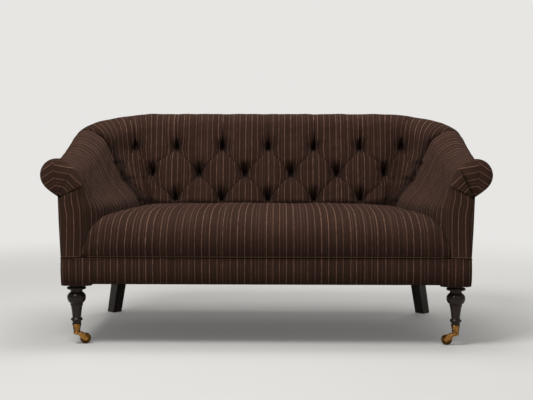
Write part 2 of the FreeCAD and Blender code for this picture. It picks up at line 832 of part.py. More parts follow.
BUTTON_SIDES = 10


def button_shape(seat, facing):
    """A button gathered in cloth: ten small pleats round a raised middle."""
    radius = mm(S.button_size) / 2
    rise = mm(S.button_rise)
    domed = ((radius, 0), (radius, rise * 0.35), (radius * 0.72, rise * 0.82), (radius * 0.3, rise))
    return ringed(domed, seat + facing * mm(S.soft_gap), facing)


def ringed(stations, seat, facing):
    """A solid of pleated rings, each with a radius and a height along the way it faces."""
    rings = []
    for radius, height in stations:
        ring = []
        for step in range(BUTTON_SIDES):
            angle = 2 * math.pi * step / BUTTON_SIDES
            ring.append(FreeCAD.Vector(radius * math.cos(angle), radius * math.sin(angle), height))
        rings.append(ring)
    solid = stretched(rings)
    solid.Placement = FreeCAD.Placement(
        seat, FreeCAD.Rotation(FreeCAD.Vector(0, 0, 1), facing))
    return solid


def make_back_pad():
    alongs = back_alongs()
    sections = [back_points(-1, along) for along in reversed(alongs[1:])]
    sections += [back_points(1, along) for along in alongs]
    shape = stretched(sections)
    recesses = []
    for row, buttons in button_places().items():
        domes = []
        for along, z in buttons:
            for side in SIDES if along else (1,):
                seat, facing = button_frame(side, along, z)
                width = mm(S.button_size) / 2 + mm(S.soft_gap)
                recesses.append(ringed(((width, 0), (width, mm(S.recess_depth))), seat, facing))
                domes.append(button_shape(seat, facing))
        soft(row + "_row_buttons", Part.makeCompound(domes))
    soft("back_pad", shape.cut(recesses))


# Arms


def arm_places(rise, drawn, inset=0.0):
    inner = mm(arm_inner(drawn)) + inset
    top = mm(arm_height(rise)) - inset
    radius = mm(S.arm_roll) - inset
    reach = mm(arm_roll_half) + 7 * rise
    centre = (reach, mm(arm_height(rise)) - mm(S.arm_roll))
    shoulder_x = mm(arm_inside) + inset
    shoulder_z = mm(arm_height(rise)) - 84 + inset * 0.3
    seat_z = mm(S.seat_line) - 6
    gap = max(shoulder_x - inner, 0)
    lower = (inner + gap * 0.03, seat_z + 7)
    upper = (inner + gap * 0.56, lower[1] + (shoulder_z - lower[1]) * 0.42)
    if inner > shoulder_x:
        shoulder_x = inner
    shoulder = (shoulder_x, shoulder_z)
    nip_z = mm(arm_height(rise) - S.roll_drop)
    outside = mm(S.half_width + S.flare * flare_at(nip_z))
    nip = (outside + 6 - inset, nip_z + inset * 0.6)
    return inner, lower, upper, shoulder, (centre, radius), nip


def arm_points(side, depth, rise, drawn):
    inner, lower, upper, shoulder, roll, nip = arm_places(rise, drawn)
    seat = (inner, mm(S.seat_line) - 6)
    hollow = (mm(frame_inner - S.soft_gap), mm(wood_half + S.soft_gap),
              mm(arm_height(rise) - S.arm_over + S.soft_gap))
    places = hook((inner, mm(pad_base)), seat, lower, upper, shoulder, roll, nip, hollow,
                  (0, 0, 5.0))
    return section_points(lambda x, z: FreeCAD.Vector(side * x, depth, z), places)


def front_points(side, depth, inset):
    """The stuffed front of an arm, drawn in by inset; it has no hollow."""
    inner, lower, upper, shoulder, roll, nip = arm_places(0.0, ARM_STATIONS[0][2], inset)
    seat = (inner, mm(S.seat_line) - 6)
    places = [(inner, mm(pad_base)), seat, lower, upper, with_arc(upper, shoulder, 5.0)]
    places += rolled_top(shoulder, roll[0], roll[1], nip)
    places += [(mm(S.half_width) - inset, mm(pad_base))]
    return section_points(lambda x, z: FreeCAD.Vector(side * x, depth, z), places)


def make_arm_pads():
    first = mm(post_front)
    front = -mm(S.front_reach) - 3
    for side in SIDES:
        arm = stretched([arm_points(side, mm(depth), rise, drawn)
                         for depth, rise, drawn in arm_stations()])
        fronts = [(front, 24.0), (front + 3, 12.0), (front + 11, 3.5), (first, 0.0)]
        cap = stretched([front_points(side, at, inset) for at, inset in fronts])
        head = mm(arm_roll_half - frame_inner + S.soft_gap)
        hole = Part.makeCylinder(
            head, mm(S.frame_board + S.soft_gap),
            FreeCAD.Vector(side * mm(arm_roll_half), first, mm(S.arm_top - S.arm_roll)),
            FreeCAD.Vector(0, 1, 0))
        slot_length = mm(wood_half - frame_inner + 2 * S.soft_gap)
        corner = side * mm(frame_inner - S.soft_gap) - (slot_length if side < 0 else 0)
        slot = Part.makeBox(slot_length, mm(S.frame_board + S.soft_gap),
                            mm(S.arm_top - S.arm_roll) - mm(pad_base),
                            FreeCAD.Vector(corner, first, mm(pad_base)))
        soft(named(side, "arm_pad"), arm.fuse(cap).cut([hole, slot]))


# Outside covers


def make_outside_back():
    """Cloth across the back and round both corners, cut to run up under the roll."""
    low = mm(S.border_top)
    height = mm(S.flare_height)
    flare = mm(S.flare)
    skin = mm(S.panel_skin)
    radius = mm(S.corner_radius)
    back = mm(S.back_reach)
    x = mm(corner_x)
    slab = flat_face([FreeCAD.Vector(-x, back - skin, low), FreeCAD.Vector(-x, back, low),
                      FreeCAD.Vector(-x, back + flare, low + height),
                      FreeCAD.Vector(-x, back + flare - skin, low + height)])
    pieces = [slab.extrude(FreeCAD.Vector(2 * x, 0, 0))]
    up = FreeCAD.Vector(0, 0, 1)
    for side in SIDES:
        centre = FreeCAD.Vector(side * x, mm(corner_depth), low)
        outer = Part.makeCone(radius, radius + flare, height, centre, up, 90)
        inner = Part.makeCone(radius - skin, radius + flare - skin, height, centre, up, 90)
        corner = outer.cut(inner)
        if side < 0:
            corner.rotate(centre, up, 90)
        pieces.append(corner)
    cloth = pieces[0].fuse(pieces[1:])
    gap = mm(S.soft_gap)
    start = mm(corner_depth) - 1
    far = back + 100
    high = low + height + 50
    line = [(start, mm(arm_height(arm_rise_at(corner_depth)) - S.roll_drop) - gap)]
    for turn in reversed(CORNER_TURNS):
        top = nip_height(turn)
        line.append((mm(seam_depth) + outside_reach(turn, top) * math.cos(math.radians(turn)),
                     top - mm(S.tuck_gap)))
    line += [(far, mm(back_nip) - mm(S.tuck_gap)), (far, high), (start, high)]
    above = flat_face([FreeCAD.Vector(-far, depth, z) for depth, z in line])
    soft("outside_back_panel", cloth.cut(above.extrude(FreeCAD.Vector(2 * far, 0, 0))))


def make_outside_arms():
    for side in SIDES:
        body = new_body(named(side, "outside_arm_panel"), 0, 0, 0)
        start = post_front + S.soft_gap
        panel_top = S.seam_top - S.roll_drop
        flare = flare_at(panel_top)
        lean = S.flare * flare
        sheet_outline = outline(body, "XZ_Plane", (
            (side * (S.half_width - S.panel_skin), S.border_top),
            (side * S.half_width, S.border_top),
            (side * (S.half_width + lean), panel_top),
            (side * (S.half_width + lean - S.panel_skin), panel_top),
        ))
        feature = pad(body, sheet_outline, corner_depth - start, backwards=True)
        bind(sheet_outline, "AttachmentOffset.Base.z", -start)
        line = [(start - 1, arm_height(0.0) - S.roll_drop - S.soft_gap)]
        for depth, rise, _ in arm_stations()[2:-1]:
            line.append((depth, arm_height(rise) - S.roll_drop - S.soft_gap))
        line.append((corner_depth + 1, arm_height(arm_rise_at(corner_depth)) - S.roll_drop
                     - S.soft_gap))
        high = panel_top + 50
        line += [(corner_depth + 1, high), (start - 1, high)]
        pocket(body, outline(body, "YZ_Plane", line), S.half_width * 4, both_ways=True)


def border_outline(body, grow, role="XY_Plane", lift=None):
    """The plan of the settee at the rails, drawn in by grow."""
    half = S.half_width - grow
    front = -S.front_reach + grow
    back = S.back_reach - grow
    small = S.front_corner - grow
    large = S.corner_radius - grow
    return outline(body, role, (
        (-half + small, front, small), (half - small, front), (half, front + small, small),
        (half, back - large), (half - large, back, large),
        (-half + large, back), (-half, back - large, large),
        (-half, front + small),
    ), lift)


def make_border():
    body = new_body("rail_border", 0, 0, S.border_bottom)
    height = S.border_top - S.border_bottom
    pad(body, border_outline(body, sized(0)), height)
    pocket(body, border_outline(body, S.border_skin), height, backwards=True)


# Seat


def seat_profile(share):
    """Depth and height of the seat's top, from the nose to the back; share is 1 at the middle."""
    nose_bottom = (-mm(S.front_reach), mm(pad_base))
    nose = (blend(-16.0, -46.0, share), blend(352.0, 392.0, share))
    nose_middle = (blend(-38.0, -mm(nose_front), share), blend(333.0, 350.0, share))
    crest = (blend(100.0, 90.0, share), blend(440.0, 463.0, share))
    crest_middle = (blend(34.0, 2.0, share), blend(406.0, 436.0, share))
    rear = (mm(seam_depth) + BACK_REACH_SEAT + 20, blend(mm(S.seat_side), 468.0, share))
    rear_middle = (320.0, blend(mm(S.seat_side) - 2, mm(S.seat_crown), share))
    return [nose_bottom, nose + nose_middle, crest + crest_middle, rear + rear_middle,
            (rear[0], mm(pad_base))]


def seat_plan():
    """The plan of the seat between the arms and the back, kept clear of both."""
    gap = mm(S.soft_gap)
    edge = [(mm(arm_inner(ARM_STATIONS[0][2])) - gap, -mm(S.front_reach) - 60)]
    edge += [(mm(arm_inner(drawn)) - gap, mm(depth)) for depth, _, drawn in arm_stations()]
    for turn in CORNER_TURNS[-2::-1] + (0.0,):
        reach = face_reach(turn, mm(S.seat_line)) - gap
        place_at = point_on(1, turn, reach, 0)
        edge.append((place_at.x, place_at.y))
    return edge


def frustum(draw_in, top, bottom):
    """The spring well, narrower towards its top."""
    half = mm(well_half) - draw_in
    slope = mm(S.well_slope)
    sections = []
    for height, inset in ((bottom, 0.0), (top, slope)):
        x = half - inset
        front = mm(S.well_front) + draw_in + inset
        back = mm(well_back) - draw_in - inset
        corners = [(-x, front), (x, front), (x, back), (-x, back)]
        sections.append([FreeCAD.Vector(a, b, height) for a, b in corners])
    return stretched(sections)


def make_seat_pad():
    half = mm(arm_inner(ARM_STATIONS[0][2]))
    stations = [0, 0.3, 0.6, 0.78, 0.88, 0.95, 1.0]
    sections = []
    for share in [-s for s in reversed(stations[1:])] + stations:
        x = share * half
        places = seat_profile(1 - abs(share) ** 5)
        sections.append(section_points(lambda depth, z: FreeCAD.Vector(x, depth, z), places))
    crown = stretched(sections)
    edge = seat_plan()
    plan = edge + [(-x, depth) for x, depth in reversed(edge)]
    plan.append(plan[0])
    base = Part.Face(Part.makePolygon([FreeCAD.Vector(x, depth, 0) for x, depth in plan]))
    prism = base.extrude(FreeCAD.Vector(0, 0, 2 * mm(S.back_top)))
    gap = mm(S.soft_gap)
    well = frustum(-gap, mm(S.well_top) + gap, mm(S.border_top))
    soft("seat_pad", crown.common(prism).cut(well))


def make_spring_cover():
    """Hessian over the springs, turned out flat and tacked along the rails."""
    lap = sized(4)
    half = side_inner + lap
    front = wood_front
    back = back_inner + lap
    radius = wood_corner - S.rail_board + lap
    body = new_body("spring_cover", 0, 0, S.border_top)
    pad(body, outline(body, "XY_Plane", (
        (-side_inner, front), (side_inner, front), (side_inner, front_inner), (half, front_inner),
        (half, back - radius), (half - radius, back, radius),
        (-half + radius, back), (-half, back - radius, radius),
        (-half, front_inner), (-side_inner, front_inner),
    )), S.hessian_skin)

    def well(grow, drop, cutting):
        shapes = []
        for inset, lift in ((0, 0), (S.well_slope, S.well_top - S.border_top - drop)):
            x = well_half - grow - inset
            y0 = S.well_front + grow + inset
            y1 = well_back - grow - inset
            shapes.append(outline(body, "XY_Plane", ((-x, y0), (x, y0), (x, y1), (-x, y1)), lift))
        loft(body, shapes[0], shapes[1], cutting)

    well(sized(0), sized(0), False)
    well(S.hessian_skin, S.hessian_skin, True)


def make_webbing():
    """Straps under the rails that carry the springs, and straps up the front of the back."""
    straps = []
    for index, share in enumerate((-1, -0.75, -0.5, -0.25, 0.25, 0.5, 0.75, 1)):
        strap = doc.addObject("Part::Box", "cross_strap_%d" % index)
        bind(strap, "Length", S.web_width)
        bind(strap, "Width", wood_back - wood_front - 2 * S.strap_end)
        bind(strap, "Height", S.web_skin)
        bind(strap, "Placement.Base.x", well_half * (0.96 * share) - S.web_width / 2)
        bind(strap, "Placement.Base.y", wood_front + S.strap_end)
        bind(strap, "Placement.Base.z", S.rail_bottom - S.web_skin)
        straps.append(strap)
    group("seat_webbing_cross", straps)
    straps = []
    for index, share in enumerate((0.25, 0.5, 0.75)):
        strap = doc.addObject("Part::Box", "long_strap_%d" % index)
        bind(strap, "Length", wood_half * 2 - 2 * S.strap_end)
        bind(strap, "Width", S.web_width)
        bind(strap, "Height", S.web_skin)
        bind(strap, "Placement.Base.x", S.strap_end - wood_half)
        bind(strap, "Placement.Base.y",
             S.well_front + (well_back - S.well_front) * share - S.web_width / 2)
        bind(strap, "Placement.Base.z", S.rail_bottom - 2 * S.web_skin)
        straps.append(strap)
    group("seat_webbing_long", straps)
    straps = []
    for index, share in enumerate((-1, -0.67, -0.34, 0.34, 0.67, 1)):
        strap = doc.addObject("Part::Box", "back_strap_%d" % index)
        bind(strap, "Length", S.web_width)
        bind(strap, "Width", S.web_skin)
        bind(strap, "Height", back_rail_top - S.stay_bottom - 2 * S.strap_end)
        bind(strap, "Placement.Base.x", straight_half * (0.71 * share) - S.web_width / 2)
        bind(strap, "Placement.Base.y", frame_front - S.web_skin)
        bind(strap, "Placement.Base.z", S.stay_bottom + S.strap_end)
        straps.append(strap)
    group("back_webbing", straps)


def group(label, members):
    """Identical pieces that share one node."""
    compound = doc.addObject("Part::Compound", label)
    compound.Links = members
    place(compound)
    nodes.append(compound)
    return compound


def make_dust_cover():
    """Black cotton tacked under the rails, cut away round the legs."""
    body = new_body("dust_cover", 0, 0, S.rail_bottom - 2 * S.web_skin - S.dust_skin)
    half = wood_half - S.dust_inset
    front = wood_front + S.dust_inset
    back = wood_back - S.dust_inset
    notch = leg_half - S.shank_size / 2 - S.dust_inset
    behind = S.shank_size / 2 + S.dust_inset
    corner = S.corner_radius - S.dust_corner
    pad(body, outline(body, "XY_Plane", (
        (-notch, front), (notch, front), (notch, behind), (half, behind),
        (half, back - corner), (half - corner, back),
        (-half + corner, back), (-half, back - corner), (-half, behind), (-notch, behind),
    )), S.dust_skin)


# Legs


def make_front_legs():
    """Turned legs: collar, neck, vase bulb, ring, tapered shaft, ankle ring and a spigot."""
    spigot = S.cup_foot / 2 - S.cup_wall
    spigot_end = S.cup_bottom + S.cup_floor
    bolt = S.bolt_size / 2
    legs = []
    for side in SIDES:
        body = doc.addObject("PartDesign::Body", named(side, "turned_leg"))
        bind(body, "Placement.Base.x", side * leg_half)
        revolve(body, outline(body, "XZ_Plane", (
            (0, spigot_end), (spigot, spigot_end), (spigot, S.cup_top),
            (S.cup_size / 2, S.cup_top), (S.cup_size / 2, S.ankle_bottom),
            (S.ankle_size / 2, S.ankle_bottom), (S.ankle_size / 2, S.ankle_top),
            (S.shaft_foot / 2, S.ankle_top), (S.shaft_size / 2, S.ring_bottom),
            (S.ring_size / 2, S.ring_bottom), (S.ring_size / 2, S.bulb_bottom),
            (S.bulb_size / 2 - S.bulb_depth, S.bulb_bottom),
            (S.bulb_size / 2, S.bulb_middle),
            (S.neck_size / 2, S.neck_bottom), (S.neck_size / 2, S.collar_bottom),
            (S.collar_size / 2, S.collar_bottom), (S.collar_size / 2, S.collar_top),
            (S.shank_size / 2, S.collar_top), (S.shank_size / 2, S.rail_bottom),
            (bolt, S.rail_bottom), (bolt, S.rail_bottom - S.bolt_drop),
            (0, S.rail_bottom - S.bolt_drop),
        )))
        legs.append(body)
    group("front_legs", legs)


def square_outline(body, shift, size, lift):
    """A square with its corners to the front, back and sides."""
    reach = size * root_of(0.5)
    x, y = shift
    return outline(body, "XY_Plane", (
        (x + reach, y), (x, y + reach), (x - reach, y), (x, y - reach),
    ), lift)


def make_rear_legs():
    for side in SIDES:
        body = new_body(named(side, "rear_leg"), side * rear_leg_half, rear_leg_depth, 0)
        foot = square_outline(body, (side * S.rear_splay, S.rear_splay), S.rear_foot_size, 0)
        head = square_outline(body, (sized(0), sized(0)), S.rear_leg_size, S.rail_bottom)
        loft(body, foot, head)
        bore = circle(body, "XY_Plane", 0, 0, S.bolt_size / 2, S.rail_bottom)
        pocket(body, bore, S.bolt_drop)


def make_leg_bolts():
    """A hanger bolt in each leg; the front ones carry a nut on their corner block."""
    bolts = []
    for side in SIDES:
        bolt = doc.addObject("Part::Cylinder", named(side, "front_bolt_rod"))
        bind(bolt, "Radius", S.bolt_size / 2)
        bind(bolt, "Height", S.bolt_drop + S.block_height + S.nut_rise)
        bind(bolt, "Placement.Base.x", side * leg_half)
        bind(bolt, "Placement.Base.z", S.rail_bottom - S.bolt_drop)
        nut = doc.addObject("Part::Prism", named(side, "front_nut"))
        nut.Polygon = 6
        bind(nut, "Circumradius", S.nut_size / root_of(3))
        bind(nut, "Height", S.nut_rise)
        bind(nut, "Placement.Base.x", side * leg_half)
        bind(nut, "Placement.Base.z", S.rail_bottom + S.block_height)
        joined = doc.addObject("Part::Fuse", named(side, "front_bolt"))
        joined.Base = bolt
        joined.Tool = nut
        bolts.append(joined)
    group("front_leg_bolts", bolts)
    bolts = []
    for side in SIDES:
        bolt = doc.addObject("Part::Cylinder", named(side, "rear_bolt"))
        bind(bolt, "Radius", S.bolt_size / 2)
        bind(bolt, "Height", S.bolt_rise + S.bolt_drop)
        bind(bolt, "Placement.Base.x", side * rear_leg_half)
        bind(bolt, "Placement.Base.y", rear_leg_depth)
        bind(bolt, "Placement.Base.z", S.rail_bottom - S.bolt_drop)
        bolts.append(bolt)
    group("rear_leg_bolts", bolts)


# Casters


def turned_by(body, side, x_along, z):
    """Places a body on the caster's own frame, which trails towards the middle."""
    angle = S.rest_turn if side < 0 else 180 - S.rest_turn
    body.Placement = FreeCAD.Placement(
        FreeCAD.Vector(0, 0, 0), FreeCAD.Rotation(FreeCAD.Vector(0, 0, 1), mm(angle)))
    cosine = math.cos(math.radians(mm(angle)))
    sine = math.sin(math.radians(mm(angle)))
    place(body, side * leg_half + x_along * cosine, x_along * sine, z)
    bind(body, "Placement.Rotation.Angle", angle)


def make_cups():
    """Tapered brass cups that the turned legs stand in."""
    cups = []
    for side in SIDES:
        body = doc.addObject("PartDesign::Body", named(side, "brass_cup"))
        bind(body, "Placement.Base.x", side * leg_half)
        top = S.cup_size / 2
        foot = S.cup_foot / 2
        revolve(body, outline(body, "XZ_Plane", (
            (S.pin_size / 2, S.cup_bottom), (foot, S.cup_bottom),
            (top, S.cup_top - S.cup_lip), (top + S.cup_bead, S.cup_top - S.cup_lip),
            (top + S.cup_bead, S.cup_top), (foot - S.cup_wall, S.cup_top),
            (foot - S.cup_wall, S.cup_bottom + S.cup_floor),
            (S.pin_size / 2, S.cup_bottom + S.cup_floor),
        )))
        cups.append(body)
    group("caster_cups", cups)


def make_pins():
    """Headed pins, riveted through the floors of the cups, that the casters swivel on."""
    pins = []
    for side in SIDES:
        body = doc.addObject("PartDesign::Body", named(side, "swivel_pin"))
        bind(body, "Placement.Base.x", side * leg_half)
        head_top = swivel_plate_bottom - S.end_play
        revolve(body, outline(body, "XZ_Plane", (
            (0, head_top - S.pin_head_rise),
            (S.pin_head / 2, head_top - S.pin_head_rise),
            (S.pin_head / 2, head_top),
            (S.pin_size / 2, head_top),
            (S.pin_size / 2, S.cup_bottom + S.cup_floor),
            (0, S.cup_bottom + S.cup_floor),
        )))
        pins.append(body)
    group("swivel_pins", pins)


def make_horn(side):
    """The swivelling fork: a round plate whose two cheeks sweep back to the axle."""
    body = new_body(named(side, "caster_horn"), 0, 0, 0)
    turned_by(body, side, sized(0), 0)
    slant = math.radians(25)
    along = S.fork_boss * math.cos(slant)
    across = S.fork_boss * math.sin(slant)
    plate_half = S.plate_size / 2
    pad(body, outline(body, "XZ_Plane", (
        (2 - plate_half, swivel_plate_bottom),
        (2 - plate_half, swivel_plate_top),
        (plate_half, swivel_plate_top),
        (S.trail + along, wheel_radius + across),
        (S.trail + across, wheel_radius - along, -S.fork_boss * 1.0001),
        (S.trail - along, wheel_radius - across, -S.fork_boss * 1.0001),
        (S.pin_head / 2 + 1.5, swivel_plate_bottom),
    )), fork_width, both_ways=True)
    pad(body, circle(body, "XY_Plane", 0, 0, plate_half, swivel_plate_bottom), S.plate_skin)
    near = (wheel_radius + S.wheel_room) * root_of(0.5)
    far = (wheel_radius + S.wheel_room) * (root_of(2) - 0.9)
    pocket(body, outline(body, "XZ_Plane", (
        (S.trail - near * root_of(2), wheel_radius - far),
        (S.trail - near * root_of(2), wheel_radius + far),
        (S.trail - far, wheel_radius + near * root_of(2)),
        (S.trail + near * root_of(2), wheel_radius + near * root_of(2)),
        (S.trail + near * root_of(2), -1),
        (S.trail - near, -1),
    )), S.wheel_width + 2 * S.fork_gap, both_ways=True)
    bore = circle(body, "XY_Plane", 0, 0, S.pin_size / 2 + S.play, swivel_plate_bottom)
    pocket(body, bore, S.plate_skin, backwards=True)
    bore = circle(body, "XZ_Plane", S.trail, wheel_radius, S.axle_size / 2)
    pocket(body, bore, fork_width, both_ways=True)


def make_wheel(side):
    body = new_body(named(side, "caster_wheel"), 0, 0, 0)
    turned_by(body, side, S.trail, wheel_radius)
    bore = S.axle_size / 2 + S.play
    half = S.wheel_width / 2
    revolve(body, outline(body, "XY_Plane", (
        (bore, -half), (wheel_radius, -half), (wheel_radius, half), (bore, half),
    )))


def make_axle(side):
    body = new_body(named(side, "wheel_axle"), 0, 0, 0)
    turned_by(body, side, S.trail, wheel_radius)
    end = fork_width / 2 + S.axle_rivet
    revolve(body, outline(body, "XY_Plane", (
        (0, -end), (S.axle_size / 2, -end), (S.axle_size / 2, end), (0, end),
    )))


def make_shoulder_rails():
    """The curved top rails of the corners, rising from the arm rails to the top rail."""
    for side in SIDES:
        sections = []
        for turn in (0.0,) + CORNER_TURNS:
            inner, outer, top = frame_reach(turn)
            low = top - mm(S.top_board)
            corners = [(inner, low), (outer, low), (outer, top), (inner, top)]
            sections.append([point_on(side, turn, reach, z) for reach, z in corners])
        soft(named(side, "shoulder_rail"), stretched(sections))


make_seat_rails()
make_stretcher()
make_corner_blocks()
make_arm_frame()
make_back_frame()
make_shoulder_rails()
make_back_pad()
make_arm_pads()
make_seat_pad()
make_spring_cover()
make_webbing()
make_outside_back()
make_outside_arms()
make_border()
make_dust_cover()
make_front_legs()
make_rear_legs()
make_leg_bolts()
make_cups()
make_pins()
for side in SIDES:
    make_horn(side)
    make_wheel(side)
    make_axle(side)

doc.recompute()

failed = [obj.Label for obj in doc.Objects if {"Invalid", "Error"} & set(obj.State)]
if failed:
    raise RuntimeError("not built: " + ", ".join(failed))
for node in nodes:
    if node.Shape.isNull() or not node.Shape.isValid():
        raise RuntimeError("no valid shape: " + node.Label)

os.makedirs("parts", exist_ok=True)
for node in nodes:
    node.Shape.exportStep("parts/%s.step" % node.Label)

whole = FreeCAD.BoundBox()
for node in nodes:
    box = node.Shape.BoundBox
    whole.add(box)
    solids = len(node.Shape.Solids)
    print("%-24s solids %2d  volume %12.0f" % (node.Label, solids, node.Shape.Volume))
print("nodes", len(nodes))
print("box", [round(number, 1) for number in (whole.XMin, whole.XMax, whole.YMin, whole.YMax,
                                              whole.ZMin, whole.ZMax)])
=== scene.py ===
"""Tufted settee: the upholstery, turned legs and brass casters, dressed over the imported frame.

Lengths are in metres. +X is to the right seen from the front, the front faces -Y and +Z is
up. A depth runs back from the axis of the front legs, as in the part's own sizes.
"""
import math
from collections import namedtuple

import bpy
import numpy as np
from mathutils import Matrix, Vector


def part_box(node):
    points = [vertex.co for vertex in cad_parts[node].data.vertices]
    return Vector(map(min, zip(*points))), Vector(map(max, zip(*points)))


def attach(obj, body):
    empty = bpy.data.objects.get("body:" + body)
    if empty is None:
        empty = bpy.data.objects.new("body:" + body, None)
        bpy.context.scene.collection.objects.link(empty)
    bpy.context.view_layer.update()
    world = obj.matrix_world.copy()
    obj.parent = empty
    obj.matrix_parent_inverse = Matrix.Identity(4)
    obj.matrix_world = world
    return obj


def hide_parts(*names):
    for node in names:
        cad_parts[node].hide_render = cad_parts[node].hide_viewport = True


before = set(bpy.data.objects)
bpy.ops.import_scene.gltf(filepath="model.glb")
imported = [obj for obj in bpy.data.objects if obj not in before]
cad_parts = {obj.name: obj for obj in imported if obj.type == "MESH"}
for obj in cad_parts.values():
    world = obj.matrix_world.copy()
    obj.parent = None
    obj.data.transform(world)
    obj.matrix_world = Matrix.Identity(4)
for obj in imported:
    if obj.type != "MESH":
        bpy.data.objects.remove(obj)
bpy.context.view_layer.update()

bl_info = {
    "name": "Tufted settee",
    "version": (1, 0, 0),
    "blender": (4, 5, 0),
    "location": "View3D > Sidebar > Settee",
    "description": "Builds the cover, legs and casters of a deep-buttoned settee",
    "category": "Add Mesh",
}

FRONT_AXIS = -0.372          # where the front legs' axis lies along Y
SIDES = (-1, 1)
SIDE_NAMES = {-1: "left", 1: "right"}

# Plan and heights, as in the part's sizes
HALF_WIDTH = 0.720
FRONT_REACH = 0.045
BACK_REACH = 0.752
CORNER_RADIUS = 0.260
FRONT_CORNER = 0.025
FLARE = 0.017
FLARE_HEIGHT = 0.464
BORDER_TOP = 0.311
BORDER_BOTTOM = 0.219
PAD_BASE = 0.3116
SEAM_DEPTH = 0.580
STRAIGHT_HALF = 0.464
CORNER_X = HALF_WIDTH - CORNER_RADIUS
CORNER_DEPTH = BACK_REACH - CORNER_RADIUS
SEAT_LINE = 0.480
ARM_BACK = 0.5797            # where an arm ends, just inside its seam with the back
LEG_X = 0.670                # how far a front leg stands from the middle
BLOCK_INSIDE = 0.612         # where the corner block over a front leg begins


# Settings


class WoolSettings(bpy.types.PropertyGroup):
    """The striped wool that covers the settee."""

    cloth: bpy.props.FloatVectorProperty(
        name="Cloth", description="Colour of the wool between its stripes",
        subtype="COLOR", size=3, min=0, max=1, default=(0.037, 0.0190, 0.0137))
    thread: bpy.props.FloatVectorProperty(
        name="Stripe", description="Colour of the thin stripes",
        subtype="COLOR", size=3, min=0, max=1, default=(0.27, 0.150, 0.105))
    pitch: bpy.props.FloatProperty(
        name="Stripe spacing", description="Distance from one stripe to the next",
        subtype="DISTANCE", min=0.01, max=0.08, default=0.0245)
    width: bpy.props.FloatProperty(
        name="Stripe width", description="Width of one stripe",
        subtype="DISTANCE", min=0.0005, max=0.01, default=0.0027)


class TuftSettings(bpy.types.PropertyGroup):
    """The deep-buttoned back."""

    rise: bpy.props.FloatProperty(
        name="Tuft rise", description="How far a tuft stands out from its folds",
        subtype="DISTANCE", min=0.0, max=0.04, default=0.015)
    pit: bpy.props.FloatProperty(
        name="Button depth", description="How deep a button is drawn into the stuffing",
        subtype="DISTANCE", min=0.0, max=0.05, default=0.040)
    button: bpy.props.FloatProperty(
        name="Button size", description="Diameter of a covered button",
        subtype="DISTANCE", min=0.01, max=0.04, default=0.018)


class FinishSettings(bpy.types.PropertyGroup):
    """The wood and the brass."""

    wood: bpy.props.FloatVectorProperty(
        name="Legs", description="Colour of the stained legs",
        subtype="COLOR", size=3, min=0, max=1, default=(0.017, 0.0108, 0.0078))
    brass: bpy.props.FloatVectorProperty(
        name="Brass", description="Colour of the casters",
        subtype="COLOR", size=3, min=0, max=1, default=(0.50, 0.245, 0.062))


# Small tools for numbers


def eased(share):
    """A share from 0 to 1 that starts and ends slowly."""
    share = min(max(share, 0.0), 1.0)
    return share * share * (3 - 2 * share)


def blend(first, last, share):
    return first + (last - first) * share


def curve_through(stations, at):
    """A smooth line through stations that never swings past them."""
    places = [station[0] for station in stations]
    values = [station[1] for station in stations]
    if at <= places[0]:
        return values[0]
    if at >= places[-1]:
        return values[-1]
    steps = [(values[i + 1] - values[i]) / (places[i + 1] - places[i])
             for i in range(len(places) - 1)]
    slopes = [steps[0]]
    for before, after in zip(steps, steps[1:]):
        slopes.append(0.0 if before * after <= 0 else 2 * before * after / (before + after))
    slopes.append(steps[-1])
    i = max(k for k in range(len(places) - 1) if places[k] <= at)
    width = places[i + 1] - places[i]
    t = (at - places[i]) / width
    return ((2 * t ** 3 - 3 * t ** 2 + 1) * values[i] + (t ** 3 - 2 * t ** 2 + t) * width * slopes[i]
            + (3 * t ** 2 - 2 * t ** 3) * values[i + 1] + (t ** 3 - t ** 2) * width * slopes[i + 1])


def bezier(p0, p1, p2, p3, count):
    """Points along a cubic, without its first."""
    points = []
    for step in range(1, count + 1):
        t = step / count
        a, b, c, d = (1 - t) ** 3, 3 * t * (1 - t) ** 2, 3 * t * t * (1 - t), t ** 3
        points.append(tuple(a * w + b * x + c * y + d * z for w, x, y, z in zip(p0, p1, p2, p3)))
    return points


def arc_points(centre, radius, start, end, count):
    """Points along an arc, without its first; the angles are in degrees."""
    points = []
    for step in range(1, count + 1):
        angle = math.radians(blend(start, end, step / count))
        points.append((centre[0] + radius * math.cos(angle), centre[1] + radius * math.sin(angle)))
    return points


def spread(points, count):
    """The same line with its points evenly spread."""
    line = np.array(points, float)
    steps = travelled(line[None], 1)[0]
    even = np.linspace(0, steps[-1], count)
    return np.stack([np.interp(even, steps, line[:, k]) for k in range(line.shape[1])], axis=1)


def smoothed(line, passes):
    """A line with its bends softened, a little more with each pass; its ends stay."""
    line = np.array(line, float)
    for _ in range(passes):
        line[1:-1] = (line[:-2] + 2 * line[1:-1] + line[2:]) / 4
    return line


def through(start, middle, end, count):
    """Points along a curve that passes its middle, without the first."""
    hold = tuple(2 * m - (s + e) / 2 for s, m, e in zip(start, middle, end))
    points = []
    for step in range(1, count + 1):
        t = step / count
        points.append(tuple(s * (1 - t) ** 2 + h * 2 * t * (1 - t) + e * t * t
                            for s, h, e in zip(start, hold, end)))
    return points


def bell(away, width):
    """1 where the distance is nothing, easing off to 0 past the width."""
    return np.exp(-(away / width) ** 2)


def sided(points, side):
    """Mirrors points onto a side, in the settee's own frame."""
    moved = np.array(points, float)
    moved[..., 0] *= side
    moved[..., 1] += FRONT_AXIS
    return moved


def travelled(grid, axis):
    """Distance travelled along one way of a grid of points."""
    steps = np.linalg.norm(np.diff(grid, axis=axis), axis=2)
    shape = list(grid.shape[:2])
    shape[axis] = 1
    return np.concatenate([np.zeros(shape), np.cumsum(steps, axis=axis)], axis=axis)


